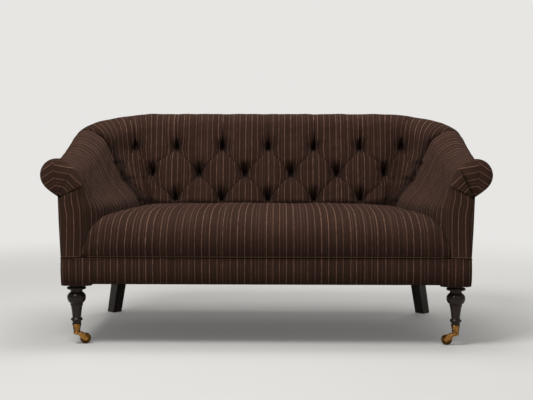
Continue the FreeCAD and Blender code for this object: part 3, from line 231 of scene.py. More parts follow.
def unevenness(grid, size, seed=0.0):
    """The slow swell of hand-laid stuffing, from -1 to 1, with no repeat that shows."""
    x, y, z = (grid[..., k] / size for k in range(3))
    return (np.sin(2.1 * x + 1.3 * z + seed) * np.cos(1.7 * y - 0.9 * z + 2 * seed)
            + 0.6 * np.sin(3.9 * x - 2.3 * y + 2.9 * z + 3 * seed)
            + 0.4 * np.cos(5.3 * z + 4.7 * y - 1.9 * x - seed)) / 2


def normals_of(grid):
    """The way square to a grid of points, at each of them."""
    across = np.gradient(grid, axis=1)
    along = np.gradient(grid, axis=0)
    normal = np.cross(across, along)
    length = np.linalg.norm(normal, axis=2, keepdims=True)
    return normal / np.maximum(length, 1e-9)


# Small tools for meshes


def placed(name, data):
    """A new object, linked to the scene."""
    made = bpy.data.objects.new(name, data)
    bpy.context.scene.collection.objects.link(made)
    return made


def keep(mesh_object, body="root"):
    """Says which body a piece rides on."""
    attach(mesh_object, body)


# A grid of cloth: its points, the place of each across and along the stripes, and how much
# painted shade darkens it in creases, pits and seams, or below 0 how far the light thread of a
# hem shows. Where tufts are given, they say which diagonal of each square lies along a fold,
# and how much cloth each of its two halves has beyond it.
Grid = namedtuple("Grid", "points across along shade tufts", defaults=(None, None))


def cloth_piece(name, grids, material, caps=()):
    """A piece of cloth made from grids, closed by flat caps."""
    vertices, faces, places, shifts, shades = [], [], [], [], []
    for points, across, along, shade, tufts in grids:
        rows, columns = points.shape[:2]
        base = len(vertices)
        vertices.extend(map(tuple, points.reshape(-1, 3)))
        places.extend(zip(across.reshape(-1).tolist(), along.reshape(-1).tolist()))
        shades.extend([0.0] * (rows * columns) if shade is None else shade.reshape(-1).tolist())
        for row in range(rows - 1):
            start = base + row * columns
            for column in range(columns - 1):
                a = start + column
                b, c, d = a + 1, a + columns + 1, a + columns
                if tufts is None:
                    faces.append((a, b, c, d))
                    shifts += [0.0] * 4
                    continue
                rising, first, second = (part[row, column] for part in tufts)
                faces += [(a, b, c), (a, c, d)] if rising else [(a, b, d), (b, c, d)]
                shifts += [first] * 3 + [second] * 3
    for cap in caps:
        base = len(vertices)
        vertices.extend(map(tuple, cap))
        places.extend((point[0], point[2]) for point in cap)
        faces.append(tuple(range(base, base + len(cap))))
        shifts += [0.0] * len(cap)
        # Painted shade: the flat caps are fully shaded.
        shades += [1.0] * len(cap)
    mesh = bpy.data.meshes.new(name)
    mesh.from_pydata(vertices, [], faces)
    layer = mesh.uv_layers.new(name="Cloth")
    loops = np.zeros(len(mesh.loops), dtype=np.int32)
    mesh.loops.foreach_get("vertex_index", loops)
    spots = np.array(places, dtype=np.float32)[loops]
    spots[:, 0] += np.array(shifts, dtype=np.float32)
    layer.data.foreach_set("uv", spots.ravel())
    shaded = mesh.attributes.new("Shade", "FLOAT", "POINT")
    shaded.data.foreach_set("value", np.clip(np.array(shades, dtype=np.float32), -1, 1))
    mesh.polygons.foreach_set("use_smooth", [True] * len(mesh.polygons))
    mesh.materials.append(material)
    mesh.update()
    return placed(name, mesh)


def turned_piece(name, profile, centre, material, axis=Vector((0, 0, 1)), steps=64, crisp=35):
    """A turned piece: (radius, height) pairs, revolved about an axis through a centre."""
    side = axis.orthogonal().normalized()
    other = axis.cross(side)
    vertices, faces = [], []
    for radius, height in profile:
        for step in range(steps):
            angle = 2 * math.pi * step / steps
            spoke = side * math.cos(angle) + other * math.sin(angle)
            vertices.append(centre + axis * height + spoke * radius)
    count = len(profile)
    for row in range(count - 1):
        for step in range(steps):
            following = (step + 1) % steps
            faces.append((row * steps + step, row * steps + following,
                          (row + 1) * steps + following, (row + 1) * steps + step))
    for row, backwards in ((0, True), (count - 1, False)):
        if profile[row][0] > 1e-6 and profile[0] != profile[-1]:
            ring = [row * steps + step for step in range(steps)]
            faces.append(tuple(reversed(ring)) if backwards else tuple(ring))
    mesh = bpy.data.meshes.new(name)
    mesh.from_pydata([tuple(v) for v in vertices], [], faces)
    mesh.materials.append(material)
    mesh.polygons.foreach_set("use_smooth", [True] * len(mesh.polygons))
    mesh.update()
    mesh.set_sharp_from_angle(angle=math.radians(crisp))
    return placed(name, mesh)


def rounded_profile(points):
    """A turning outline with its marked corners rounded; a third value is a corner's radius."""
    line = []
    count = len(points)
    for index, point in enumerate(points):
        here = Vector(point[:2])
        if len(point) < 3 or index in (0, count - 1):
            line.append(tuple(here))
            continue
        before = Vector(points[index - 1][:2]) - here
        after = Vector(points[index + 1][:2]) - here
        reach = min(point[2], before.length * 0.49, after.length * 0.49)
        start = here + before.normalized() * reach
        end = here + after.normalized() * reach
        line.append(tuple(start))
        for step in range(1, 5):
            t = step / 5
            line.append(tuple(start * (1 - t) ** 2 + here * 2 * t * (1 - t) + end * t * t))
        line.append(tuple(end))
    return line


# Materials


class Recipe:
    """Puts a material's nodes together."""

    def __init__(self, name):
        self.material = bpy.data.materials.new(name)
        self.material.use_nodes = True
        self.tree = self.material.node_tree
        self.shader = self.tree.nodes["Principled BSDF"]
        self.place = 0

    def node(self, kind, **values):
        made = self.tree.nodes.new(kind)
        self.place += 1
        made.location = (-220 * (1 + self.place // 6), 300 - 180 * (self.place % 6))
        for key, value in values.items():
            setattr(made, key, value)
        return made

    def link(self, start, end):
        self.tree.links.new(start, end)

    def set(self, **values):
        names = {"rough": "Roughness", "metal": "Metallic", "specular": "Specular IOR Level",
                 "sheen": "Sheen Weight", "sheen_rough": "Sheen Roughness", "coat": "Coat Weight",
                 "coat_rough": "Coat Roughness"}
        for key, value in values.items():
            self.shader.inputs[names[key]].default_value = value

    def colour(self, value):
        self.link(value, self.shader.inputs["Base Color"])

    def roughness(self, value):
        self.link(value, self.shader.inputs["Roughness"])

    def math(self, operation, *values):
        made = self.node("ShaderNodeMath", operation=operation)
        for socket, value in zip(made.inputs, values):
            if isinstance(value, (int, float)):
                socket.default_value = value
            else:
                self.link(value, socket)
        return made.outputs[0]

    def plus(self, first, second):
        return self.math("ADD", first, second)

    def less(self, first, second):
        return self.math("SUBTRACT", first, second)

    def times(self, first, second):
        return self.math("MULTIPLY", first, second)

    def wave(self, place, length):
        return self.math("SINE", self.times(place, 2 * math.pi / length))

    def ramp(self, value, low, high, to_low=0.0, to_high=1.0, smooth=True):
        made = self.node("ShaderNodeMapRange",
                         interpolation_type="SMOOTHSTEP" if smooth else "LINEAR")
        self.link(value, made.inputs["Value"])
        for name, number in (("From Min", low), ("From Max", high), ("To Min", to_low),
                             ("To Max", to_high)):
            made.inputs[name].default_value = number
        return made.outputs["Result"]

    def mix(self, share, first, second):
        made = self.node("ShaderNodeMix", data_type="RGBA")
        for socket, value in ((made.inputs[0], share), (made.inputs[6], first),
                              (made.inputs[7], second)):
            if isinstance(value, (int, float)):
                socket.default_value = value
            elif isinstance(value, (tuple, list)):
                socket.default_value = (*value, 1.0)[:4]
            else:
                self.link(value, socket)
        return made.outputs[2]

    def noise(self, vector, scale, detail=2.0, rough=0.5):
        made = self.node("ShaderNodeTexNoise")
        self.link(vector, made.inputs["Vector"])
        made.inputs["Scale"].default_value = scale
        made.inputs["Detail"].default_value = detail
        made.inputs["Roughness"].default_value = rough
        return made.outputs["Fac"]

    def stretched(self, vector, scale):
        made = self.node("ShaderNodeMapping")
        self.link(vector, made.inputs["Vector"])
        made.inputs["Scale"].default_value = scale
        return made.outputs["Vector"]

    def fine_noise(self, vector, scales, detail=2.0, rough=0.5):
        return self.noise(self.stretched(vector, scales), 1.0, detail, rough)

    def chance(self, number, seed):
        made = self.node("ShaderNodeTexWhiteNoise", noise_dimensions="1D")
        self.link(self.plus(number, seed), made.inputs["W"])
        return made.outputs["Value"]

    def places(self):
        return self.node("ShaderNodeTexCoord").outputs["Object"]

    def cloth_places(self):
        """Places on the cloth as one vector, and its parts across and along the stripes."""
        uv = self.node("ShaderNodeUVMap", uv_map="Cloth").outputs["UV"]
        split = self.node("ShaderNodeSeparateXYZ")
        self.link(uv, split.inputs[0])
        return uv, split.outputs[0], split.outputs[1]

    def edges(self):
        return self.node("ShaderNodeNewGeometry").outputs["Pointiness"]

    def bump(self, height, strength, distance):
        made = self.node("ShaderNodeBump")
        made.inputs["Strength"].default_value = strength
        made.inputs["Distance"].default_value = distance
        self.link(height, made.inputs["Height"])
        self.link(made.outputs["Normal"], self.shader.inputs["Normal"])


def scene_settings():
    scene = bpy.context.scene
    return scene.settee_wool, scene.settee_tufts, scene.settee_finish


STRIPES_BEFORE = 200.5       # keeps the count of stripes above zero on all of the cloth
OTHER_SEED = 31.7            # sets a stripe's strength apart from its place
YARN = 0.0016                # one yarn of the weave, along the stripes
PICK = 0.0014                # and across them
# Colour of the deepest painted shade, in the creases and pits of the cloth
CREASE_SHADE_COLOUR = (0.004, 0.0025, 0.002)


def stripe_set(recipe, across, fray, pitch, width, stray, strengths, seed):
    """One set of stripes; each strays a little from its place and has its own strength."""
    counted = recipe.plus(recipe.math("DIVIDE", across, pitch), STRIPES_BEFORE)
    number = recipe.math("FLOOR", counted)
    way = recipe.less(recipe.math("FRACT", counted), 0.5)
    shift = recipe.times(recipe.less(recipe.chance(number, seed), 0.5), stray)
    off = recipe.times(recipe.math("ABSOLUTE", recipe.less(way, shift)), pitch)
    off = recipe.plus(off, recipe.times(fray, width * 0.55))
    line = recipe.ramp(off, width * 0.25, width * 0.75, 1.0, 0.0)
    strength = recipe.ramp(recipe.chance(number, seed + OTHER_SEED), 0.0, 1.0, *strengths, False)
    return recipe.times(line, strength)


def striped_wool():
    """Dark brown wool with thin, slubbed stripes that differ a little in place and strength."""
    if "Striped wool" in bpy.data.materials:
        return bpy.data.materials["Striped wool"]
    wool = scene_settings()[0]
    recipe = Recipe("Striped wool")
    uv, across, along = recipe.cloth_places()
    waver = recipe.fine_noise(uv, (2.0, 14.0, 1.0), 1.0)
    across = recipe.plus(across, recipe.times(recipe.less(waver, 0.5), 0.0022))
    fray = recipe.less(recipe.fine_noise(uv, (1500.0, 520.0, 1.0), 2.0, 0.6), 0.5)
    slubs = recipe.ramp(recipe.fine_noise(uv, (330.0, 38.0, 1.0), 3.0, 0.6), 0.30, 0.62, 0.36, 1.0)
    dashes = recipe.fine_noise(uv, (260.0, 300.0, 1.0), 2.0, 0.7)
    slubs = recipe.times(slubs, recipe.ramp(dashes, 0.34, 0.60, 0.45, 1.0))
    wide = stripe_set(recipe, across, fray, wool.pitch, wool.width, 0.24, (0.38, 0.92), 3.0)
    faint = stripe_set(recipe, across, fray, wool.pitch * 0.5, wool.width * 0.6, 0.5, (0.0, 0.40),
                       77.0)
    stripes = recipe.math("MAXIMUM", recipe.times(wide, slubs), recipe.times(faint, slubs))

    heather = recipe.fine_noise(uv, (900.0, 700.0, 1.0), 2.0, 0.7)
    slow = recipe.noise(recipe.places(), 7.0, 3.0)
    dull, plain, bright = ([c * light for c in wool.cloth] for light in (0.72, 1.32, 1.35))
    base = recipe.mix(recipe.ramp(heather, 0.3, 0.7), dull, plain)
    base = recipe.mix(recipe.ramp(slow, 0.3, 0.7, 0.0, 0.35), base, bright)
    # Painted shade: the Shade attribute darkens the wool toward the crease shade colour in creases,
    # pits, seams and recesses; below 0 it shows the light thread of a hem instead.
    shade = recipe.node("ShaderNodeAttribute", attribute_name="Shade").outputs["Fac"]
    stripes = recipe.math("MAXIMUM", stripes, recipe.times(shade, -1.0))
    crease = recipe.times(recipe.math("MAXIMUM", shade, 0.0), 0.86)
    recipe.colour(recipe.mix(crease, recipe.mix(stripes, base, tuple(wool.thread)),
                             CREASE_SHADE_COLOUR))

    weave = recipe.times(recipe.wave(along, YARN), recipe.wave(across, PICK))
    weave = recipe.plus(recipe.times(weave, 0.35), heather)
    recipe.bump(recipe.plus(weave, recipe.times(stripes, 0.5)), 0.7, 0.0009)
    recipe.roughness(recipe.ramp(heather, 0.2, 0.8, 0.82, 0.97))
    recipe.set(specular=0.0, sheen=0.02, sheen_rough=0.5)
    return recipe.material


def plain_wood(name, light, dark, rough, grain=28.0, worn=None):
    """Wood with long grain, pores, and a lighter tone where it has been rubbed."""
    if name in bpy.data.materials:
        return bpy.data.materials[name]
    recipe = Recipe(name)
    places = recipe.places()
    long_grain = recipe.fine_noise(places, (grain, grain, grain * 0.09), 4.0, 0.6)
    pores = recipe.fine_noise(places, (420.0, 420.0, 26.0))
    colour = recipe.mix(recipe.ramp(long_grain, 0.32, 0.68), dark, light)
    colour = recipe.mix(recipe.ramp(pores, 0.56, 0.70, 0.0, 0.5), colour, [c * 0.55 for c in dark])
    if worn is not None:
        colour = recipe.mix(recipe.ramp(recipe.edges(), 0.52, 0.60, 0.0, 0.55), colour, worn)
        recipe.set(coat=0.14, coat_rough=0.12, specular=0.16)
    recipe.colour(colour)
    recipe.roughness(recipe.ramp(long_grain, 0.3, 0.7, rough * 0.85, rough * 1.15))
    recipe.bump(recipe.plus(long_grain, recipe.times(pores, -0.6)), 0.25, 0.0008)
    return recipe.material


def aged_brass(name="Aged brass", bright=1.0):
    """Brass that has gone brown in its hollows, with painted shade where it turns away from the eye.
    """
    if name in bpy.data.materials:
        return bpy.data.materials[name]
    brass = [c * bright for c in scene_settings()[2].brass]
    brown = [c * bright for c in (0.16, 0.074, 0.022)]
    recipe = Recipe(name)
    places = recipe.places()
    stain = recipe.noise(places, 90.0, 5.0, 0.65)
    fine = recipe.noise(places, 900.0, 2.0)
    dull = recipe.times(recipe.ramp(stain, 0.38, 0.66, 0.08, 0.85),
                        recipe.ramp(recipe.edges(), 0.50, 0.58, 1.0, 0.25))
    # Painted shade: the brass darkens to a deep brown where it turns away from the eye.
    turned_away_shade = recipe.node("ShaderNodeLayerWeight").outputs["Facing"]
    recipe.colour(recipe.mix(recipe.ramp(turned_away_shade, 0.12, 0.60, 0.0, 0.9),
                             recipe.mix(dull, brass, brown), [c * 0.30 for c in brown]))
    recipe.roughness(recipe.plus(recipe.ramp(stain, 0.3, 0.8, 0.12, 0.30),
                                 recipe.times(fine, 0.05)))
    recipe.bump(recipe.plus(fine, stain), 0.10, 0.0003)
    recipe.set(metal=1.0)
    return recipe.material


def woven(name, light, dark, pitch):
    """A plain open weave: jute straps, hessian or black cotton."""
    if name in bpy.data.materials:
        return bpy.data.materials[name]
    recipe = Recipe(name)
    uv, across, along = recipe.cloth_places()
    weave = recipe.times(recipe.wave(across, pitch), recipe.wave(along, pitch))
    height = recipe.plus(weave, recipe.noise(uv, 60.0, 3.0))
    recipe.colour(recipe.mix(recipe.ramp(height, -0.3, 1.3), dark, light))
    recipe.bump(height, 0.6, pitch * 0.3)
    recipe.set(rough=0.95, specular=0.2, sheen=0.1)
    return recipe.material


def bright_steel():
    if "Zinc-plated steel" in bpy.data.materials:
        return bpy.data.materials["Zinc-plated steel"]
    recipe = Recipe("Zinc-plated steel")
    cloud = recipe.noise(recipe.places(), 160.0, 4.0)
    recipe.colour(recipe.mix(cloud, (0.42, 0.42, 0.40), (0.62, 0.62, 0.60)))
    recipe.roughness(recipe.ramp(cloud, 0.3, 0.7, 0.28, 0.45))
    recipe.set(metal=1.0)
    return recipe.material


def dark_legs():
    wood = scene_settings()[2].wood
    return plain_wood("Dark stained wood", [c * 1.5 for c in wood], [c * 0.7 for c in wood], 0.30,
                      34.0, (0.085, 0.058, 0.043))


def beech():
    return plain_wood("Beech", (0.56, 0.40, 0.25), (0.42, 0.27, 0.15), 0.6)


# The tufted back. Its section is drawn in a plane that turns about the end of the straight
# back; a reach is a distance from that turning line.

CORNER_RUN = 0.240           # the cloth's way round a corner
BACK_TOP = 0.841
BACK_ROLL = 0.054            # radius of the roll along the back
BACK_NIP = 0.741             # where the back's roll meets the outside cloth
SHOULDER_DROP = 0.066        # from the top of the back to where its roll begins
SEAM_TOP = 0.772
ARM_ROLL = 0.057
ARM_ROLL_HALF = 0.733        # how far the middle of an arm's roll stands from the settee's
ARM_SHOULDER_DROP = 0.084
SEAM_ROLL_OUT = 0.007        # how much farther out it stands at the seam
ROLL_BACK = 0.748
ROLL_START = 98.0            # the angle at which the face runs onto the roll
ROLL_DROP = 0.113            # from the top of an arm down to its nip
ROLL_HOLD = 2.4              # how long the roll keeps its height round a corner
NIP_OVER = 0.004             # how far the roll's nip stands out over the outside cloth
ARM_INSIDE = 0.645
SEAM_INSIDE = 0.512
SEAM_CLIMB = 0.200           # how far up the seam an arm's face leans back out
FACE_FOOT = 0.425            # where the face of the back starts, behind the seat
REACH_SEAT = 0.022           # how far back the face lies at the seat, and at its top
REACH_TOP = 0.098
# The hidden hollow where the stuffing sits on the frame, at the back and at the seams
HOLLOW_TOPS = (0.770, 0.714)
HOLLOW_OUTSIDES = (0.746 - SEAM_DEPTH, 0.714 - STRAIGHT_HALF)
HOLLOW_WIDTH = 0.028
HOLLOW_FOOT = 0.386
# Heights of the rows of buttons on the straight back and at the seams, and the degrees round
# a corner through which each row keeps its height
ROWS = (0.487, 0.591, 0.696)
SEAM_ROWS = (0.483, 0.572, 0.636)
ROW_HELD = (0.0, 22.5, 45.0)
# Where the columns of buttons and of half-way points stand, along the back from its middle
COLUMNS = (0.0, 0.096, 0.192, 0.288, 0.384, 0.524, 0.584, 0.704)
LAST_COLUMN = 7
BUTTON_COLUMNS = {2: range(-6, 7, 2), 1: range(-5, 6, 2), 0: range(-4, 5, 2)}
BUTTON_SPOTS = tuple((column, row) for row in BUTTON_COLUMNS for column in BUTTON_COLUMNS[row])
SEAM_SPOTS = tuple((side * LAST_COLUMN, row) for row in range(3) for side in SIDES)
# How hard the outer columns are drawn in, as a share of the others
SEAM_PULL = {7: 0.5, 6: 0.72}
# How dark the painted shade along the upright pleat over each top button is
PLEAT_SHADES = {-6: 0.5, -4: 0.6, -2: 1.0, 0: 0.45, 2: 1.0, 4: 1.0, 6: 0.5}
STEPS_PER_COLUMN = 36
STEPS_BELOW = 18
STEPS_ABOVE = 18
TOP_LINE = STEPS_BELOW + 2 * STEPS_PER_COLUMN
FOLD_CLOTH = 0.0085          # cloth hidden in a fold between two tufts


def gathered(share):
    """Draws the mesh's lines closer together near the buttons."""
    return share - 0.62 * math.sin(2 * math.pi * share) / (2 * math.pi)


def turn_at(along):
    """Degrees turned round the corner, at a distance along the back from its middle."""
    return max(abs(along) - STRAIGHT_HALF, 0.0) / CORNER_RUN * 90.0


def column_place(column):
    """Distance along the back from its middle to a column, whole or between two."""
    whole = min(int(abs(column)), 6)
    place = blend(COLUMNS[whole], COLUMNS[whole + 1], abs(column) - whole)
    return math.copysign(place, column)


def row_height(row, turn):
    """Height of a row of buttons; the rows drop a little towards the seam."""
    held = ROW_HELD[row]
    return blend(ROWS[row], SEAM_ROWS[row], eased((turn - held) / (90.0 - held)))


def toward_seam(turn):
    """How far the section has changed from the straight back's to the arm seam's."""
    return (1 - math.cos(math.radians(turn * 2))) / 2


def flare_at(z):
    """How far the outside cloth leans out over the rails."""
    return FLARE * (z - BORDER_TOP) / FLARE_HEIGHT


def face_reach(turn, z):
    """Reach of the face of the back before it is tufted."""
    rise = max((z - SEAT_LINE) / (BACK_TOP - SHOULDER_DROP - SEAT_LINE), 0.0)
    straight = REACH_SEAT + (REACH_TOP - REACH_SEAT) * rise ** 0.85
    seam_rise = max(z - SEAT_LINE, 0.0) / SEAM_CLIMB
    seam = SEAM_INSIDE - STRAIGHT_HALF + (ARM_INSIDE - SEAM_INSIDE) * min(seam_rise, 1) ** 0.68
    return blend(straight, seam, toward_seam(turn))


def outside_reach(turn, z):
    """Reach of the outside cloth, which turns about its own centre round the rear corners."""
    radius = CORNER_RADIUS + flare_at(z)
    from_x = CORNER_X - STRAIGHT_HALF
    from_depth = CORNER_DEPTH - SEAM_DEPTH
    angle = math.radians(turn)
    along = from_x * math.sin(angle) + from_depth * math.cos(angle)
    off = from_x * math.cos(angle) - from_depth * math.sin(angle)
    return along + math.sqrt(radius * radius - off * off)


def outline_half(depth, z):
    """Half the width of the outside cloth, which turns in round the rear corners."""
    radius = CORNER_RADIUS + flare_at(z)
    return CORNER_X + math.sqrt(radius ** 2 - max(depth - CORNER_DEPTH, 0.0) ** 2)


def lowered(turn):
    """How far the roll has come down to the arm's height; it stays up well into the corner."""
    return (turn / 90.0) ** ROLL_HOLD


def nip_height(turn):
    """Height at which the roll meets the outside cloth."""
    return blend(BACK_NIP, SEAM_TOP - ROLL_DROP, lowered(turn))


def back_point(along, reach, z):
    """The place in the settee of a point of the back's section."""
    side = math.copysign(1, along)
    turn = turn_at(along)
    if turn == 0.0:
        return (along, SEAM_DEPTH + reach + FRONT_AXIS, z)
    angle = math.radians(turn)
    return (side * (STRAIGHT_HALF + reach * math.sin(angle)),
            SEAM_DEPTH + reach * math.cos(angle) + FRONT_AXIS, z)


def roll_path(turn, shoulder_z):
    """The section of the roll: (reach, z) from the shoulder of the face, over it, to the nip."""
    share = toward_seam(turn)
    radius = blend(BACK_ROLL, ARM_ROLL, share)
    middle = (blend(ROLL_BACK - SEAM_DEPTH, ARM_ROLL_HALF + SEAM_ROLL_OUT - STRAIGHT_HALF, share),
              blend(BACK_TOP, SEAM_TOP, lowered(turn)) - radius)
    shoulder = (face_reach(turn, shoulder_z), shoulder_z)
    slope = (shoulder[0] - face_reach(turn, shoulder_z - 0.01)) / 0.01
    start = math.radians(ROLL_START)
    onto = (middle[0] + radius * math.cos(start), middle[1] + radius * math.sin(start))
    hold = math.dist(shoulder, onto) * 0.42
    lean = math.hypot(slope, 1.0)
    leave = (shoulder[0] + hold * slope / lean, shoulder[1] + hold / lean)
    arrive = (onto[0] - hold * math.sin(start), onto[1] + hold * math.cos(start))
    path = [shoulder] + bezier(shoulder, leave, arrive, onto, 22)
    nip_z = nip_height(turn)
    nip = (outside_reach(turn, nip_z) + NIP_OVER, nip_z)
    sunk = max(min((nip_z - middle[1]) / radius, 1.0), -1.0)
    path += arc_points(middle, radius, ROLL_START, max(math.degrees(math.asin(sunk)), -88.0), 34)
    last = path[-1]
    path += [(blend(last[0], nip[0], t), blend(last[1], nip[1], t)) for t in (0.4, 0.8, 1.0)]
    return path + [(nip[0] - 0.012, nip_z + 0.004)]


def back_path(turn):
    """The section of the back: (reach, z) and the row it belongs to, from seat to nip."""
    heights = [row_height(row, turn) for row in range(3)]
    shoulder_z = blend(BACK_TOP - SHOULDER_DROP, SEAM_TOP - ARM_SHOULDER_DROP, lowered(turn))
    top_z = min(heights[2], shoulder_z - 0.012)
    climbs = ((FACE_FOOT, heights[0], STEPS_BELOW, -1.0, 0.0),
              (heights[0], heights[1], STEPS_PER_COLUMN, 0.0, 1.0),
              (heights[1], top_z, STEPS_PER_COLUMN, 1.0, 2.0),
              (top_z, shoulder_z, STEPS_ABOVE, 2.0, 2.0))
    path, rows = [], []
    for start, end, count, first, last in climbs:
        for step in range(count):
            t = gathered(step / count)
            z = blend(start, end, t)
            path.append((face_reach(turn, z), z))
            rows.append(blend(first, last, t))
    path += roll_path(turn, shoulder_z)
    return path, rows + [2.0] * (len(path) - len(rows))


def back_hollow(turn):
    """The hidden edge of the stuffing, where it sits on the frame."""
    top = blend(*HOLLOW_TOPS, turn / 90.0)
    outer = min(blend(*HOLLOW_OUTSIDES, turn / 90.0), outside_reach(turn, top - 0.05) - 0.007)
    inner = outer - HOLLOW_WIDTH
    return [(outer, nip_height(turn)), (outer, top), (inner, top), (inner, HOLLOW_FOOT),
            (face_reach(turn, SEAT_LINE), HOLLOW_FOOT)]


def tuft_shape(columns, rows):
    """Height of the tufts over their folds, from 0 along a fold to 1 in a tuft's middle.

    Over the top row the slanting folds pass smoothly into upright channels.
    """
    bend = 0.3
    turning = np.clip(rows - 2.0 + bend, 0.0, 2 * bend)
    clamped = np.clip(np.minimum(rows, 2.0 + bend) - turning ** 2 / (4 * bend), 0.0, 2.0)

    def puff(place):
        share = place - np.floor(place)
        return np.abs(np.sin(np.pi * share ** 0.86))

    return (puff((columns + clamped) / 2) * puff((clamped - columns) / 2)) ** 0.36


def tuft_cells(columns, rows):
    """Which diagonal of each square lies along a fold, and the cloth hidden before each half."""
    clamped = np.clip(rows, 0.0, 2.0)
    corners = [(columns[:-1, :-1], clamped[:-1, :-1]), (columns[:-1, 1:], clamped[:-1, 1:]),
               (columns[1:, 1:], clamped[1:, 1:]), (columns[1:, :-1], clamped[1:, :-1])]
    middle_column = sum(corner[0] for corner in corners) / 4
    middle_row = sum(corner[1] for corner in corners) / 4
    rising = (np.floor(middle_column) + np.floor(middle_row)).astype(int) % 2 == 0

    def hidden(names):
        column = sum(corners[k][0] for k in names) / 3
        row = sum(corners[k][1] for k in names) / 3
        folds = np.floor((column + row) / 2) + np.floor((column - row) / 2) + 1
        return FOLD_CLOTH * folds / 2

    first = np.where(rising, hidden((0, 1, 2)), hidden((0, 1, 3)))
    second = np.where(rising, hidden((0, 2, 3)), hidden((1, 2, 3)))
    return rising, first, second


def pit_at(aside, up, row, turn_of_pleats):
    """Depth of a buttoned pit as a share of its deepest, with the pleats gathered over it.

    The lower lip is full and close. Over the top row the pit runs up in one narrow pleat; over
    the others it opens out in a fan of small gathers.
    """
    over = np.maximum(up, 0.0)
    under = np.maximum(-up, 0.0)
    if row == 2:
        pleat = 0.070 + 0.016 * math.cos(5 * turn_of_pleats)
        half = np.clip(0.0098 * (1 - over / pleat), 0.0022, None)
        rise = 1 - np.clip(over / pleat, 0, 1)
    else:
        half = 0.0090 + 0.26 * over
        rise = 1 - np.clip(over / 0.060, 0, 1)
    rise = rise * rise * (3 - 2 * rise)
    core = np.exp(-(np.abs(aside) / half) ** 2.6) * rise * np.exp(-(under / 0.0085) ** 2.4)
    away = np.hypot(aside, up)
    around = np.arctan2(aside, up + 0.004)
    spokes = 0.5 + 0.5 * np.cos(around * 2 * math.pi / 0.42 + turn_of_pleats)
    reach = np.clip((away - 0.006) / 0.010, 0, 1) * bell(away, 0.034)
    upward = np.clip(np.cos(around) * 1.6 - 0.35, 0, 1)
    return 0.74 * core + 0.26 * bell(away, 0.030) + 0.085 * spokes ** 2 * reach * upward


def seam_ends(away, z):
    """Where the folds of the tufts run out in the arm seams, as notches that taper off."""
    half = np.clip(0.022 - 0.16 * away, 0.006, None)
    return np.max([bell(z - row, half) for row in SEAM_ROWS], axis=0)


def seam_shade(away, z):
    """Painted shade beside the seam of two pads pressed together, widest where tufts end in it."""
    close = np.clip(1.6 - away / 0.045, 0, 1) ** 1.4 * np.clip((0.82 - z) / 0.16, 0.3, 1)
    wide = np.clip(1.7 - away / 0.050, 0, 1) * seam_ends(away, z)
    return np.maximum(0.7 * close, 0.95 * wide)


def back_face():
    """The back before it is tufted, its lines gathered near the buttons.

    Gives each column's distance along the back and, on the grid, the points, the reaches, and
    the row and column of the tufts.
    """
    count = STEPS_PER_COLUMN
    columns = np.array([math.floor(index / count) + gathered(index / count % 1.0)
                        for index in range(-LAST_COLUMN * count, LAST_COLUMN * count + 1)])
    alongs = [column_place(column) for column in columns]
    sections = [back_path(turn_at(along)) for along in alongs]
    points = np.array([[back_point(along, reach, z) for reach, z in path]
                       for along, (path, _) in zip(alongs, sections)]).transpose(1, 0, 2)
    bend = slice(TOP_LINE - 16, TOP_LINE + 16)
    for _ in range(60):
        softened = (points[:-2] + 2 * points[1:-1] + points[2:]) / 4
        points[bend] = softened[bend.start - 1:bend.stop - 1]
    reaches = np.array([[reach for reach, _ in path] for path, _ in sections]).T
    rows = np.array([marks for _, marks in sections]).T
    return alongs, points, reaches, rows, np.tile(columns, (len(points), 1))


def spot_on_grid(column, row):
    """Where a button stands on the grid of the back."""
    return STEPS_BELOW + row * STEPS_PER_COLUMN, (column + LAST_COLUMN) * STEPS_PER_COLUMN


def press_pits(points, columns, spacing, above):
    """What the buttons, and the folds that end in the seams, do to the back.

    Gives the depth of the pits, the painted shade in them and along the pleats over the top row,
    the distance to the nearest one, and how far the cloth is drawn aside to the buttons.
    """
    pits = np.zeros_like(columns)
    dark = np.zeros_like(columns)
    drawn = np.zeros_like(columns)
    nearest = np.ones_like(columns)
    for column, row in BUTTON_SPOTS + SEAM_SPOTS:
        offset = points - points[spot_on_grid(column, row)]
        up = offset[..., 2]
        aside = np.hypot(offset[..., 0], offset[..., 1]) * np.sign(columns - column)
        pit = pit_at(aside, up, row, 1.7 * column + row)
        pits = np.maximum(pits, SEAM_PULL.get(abs(column), 1.0) * pit)
        dark = np.maximum(dark, pit)
        if row == 2:
            # Painted shade along the upright pleat over a top button.
            line = bell((columns - column) * spacing, 0.0058)
            line *= np.clip(1 - above / 0.130, 0, 1) ** 0.6 * (above > 0)
            dark = np.maximum(dark, PLEAT_SHADES.get(column, 0.0) * line)
        away = np.hypot(aside, up)
        nearest = np.minimum(nearest, away)
        drawn += aside * bell(away, 0.030) * (abs(column) < LAST_COLUMN)
    return pits, dark, nearest, drawn


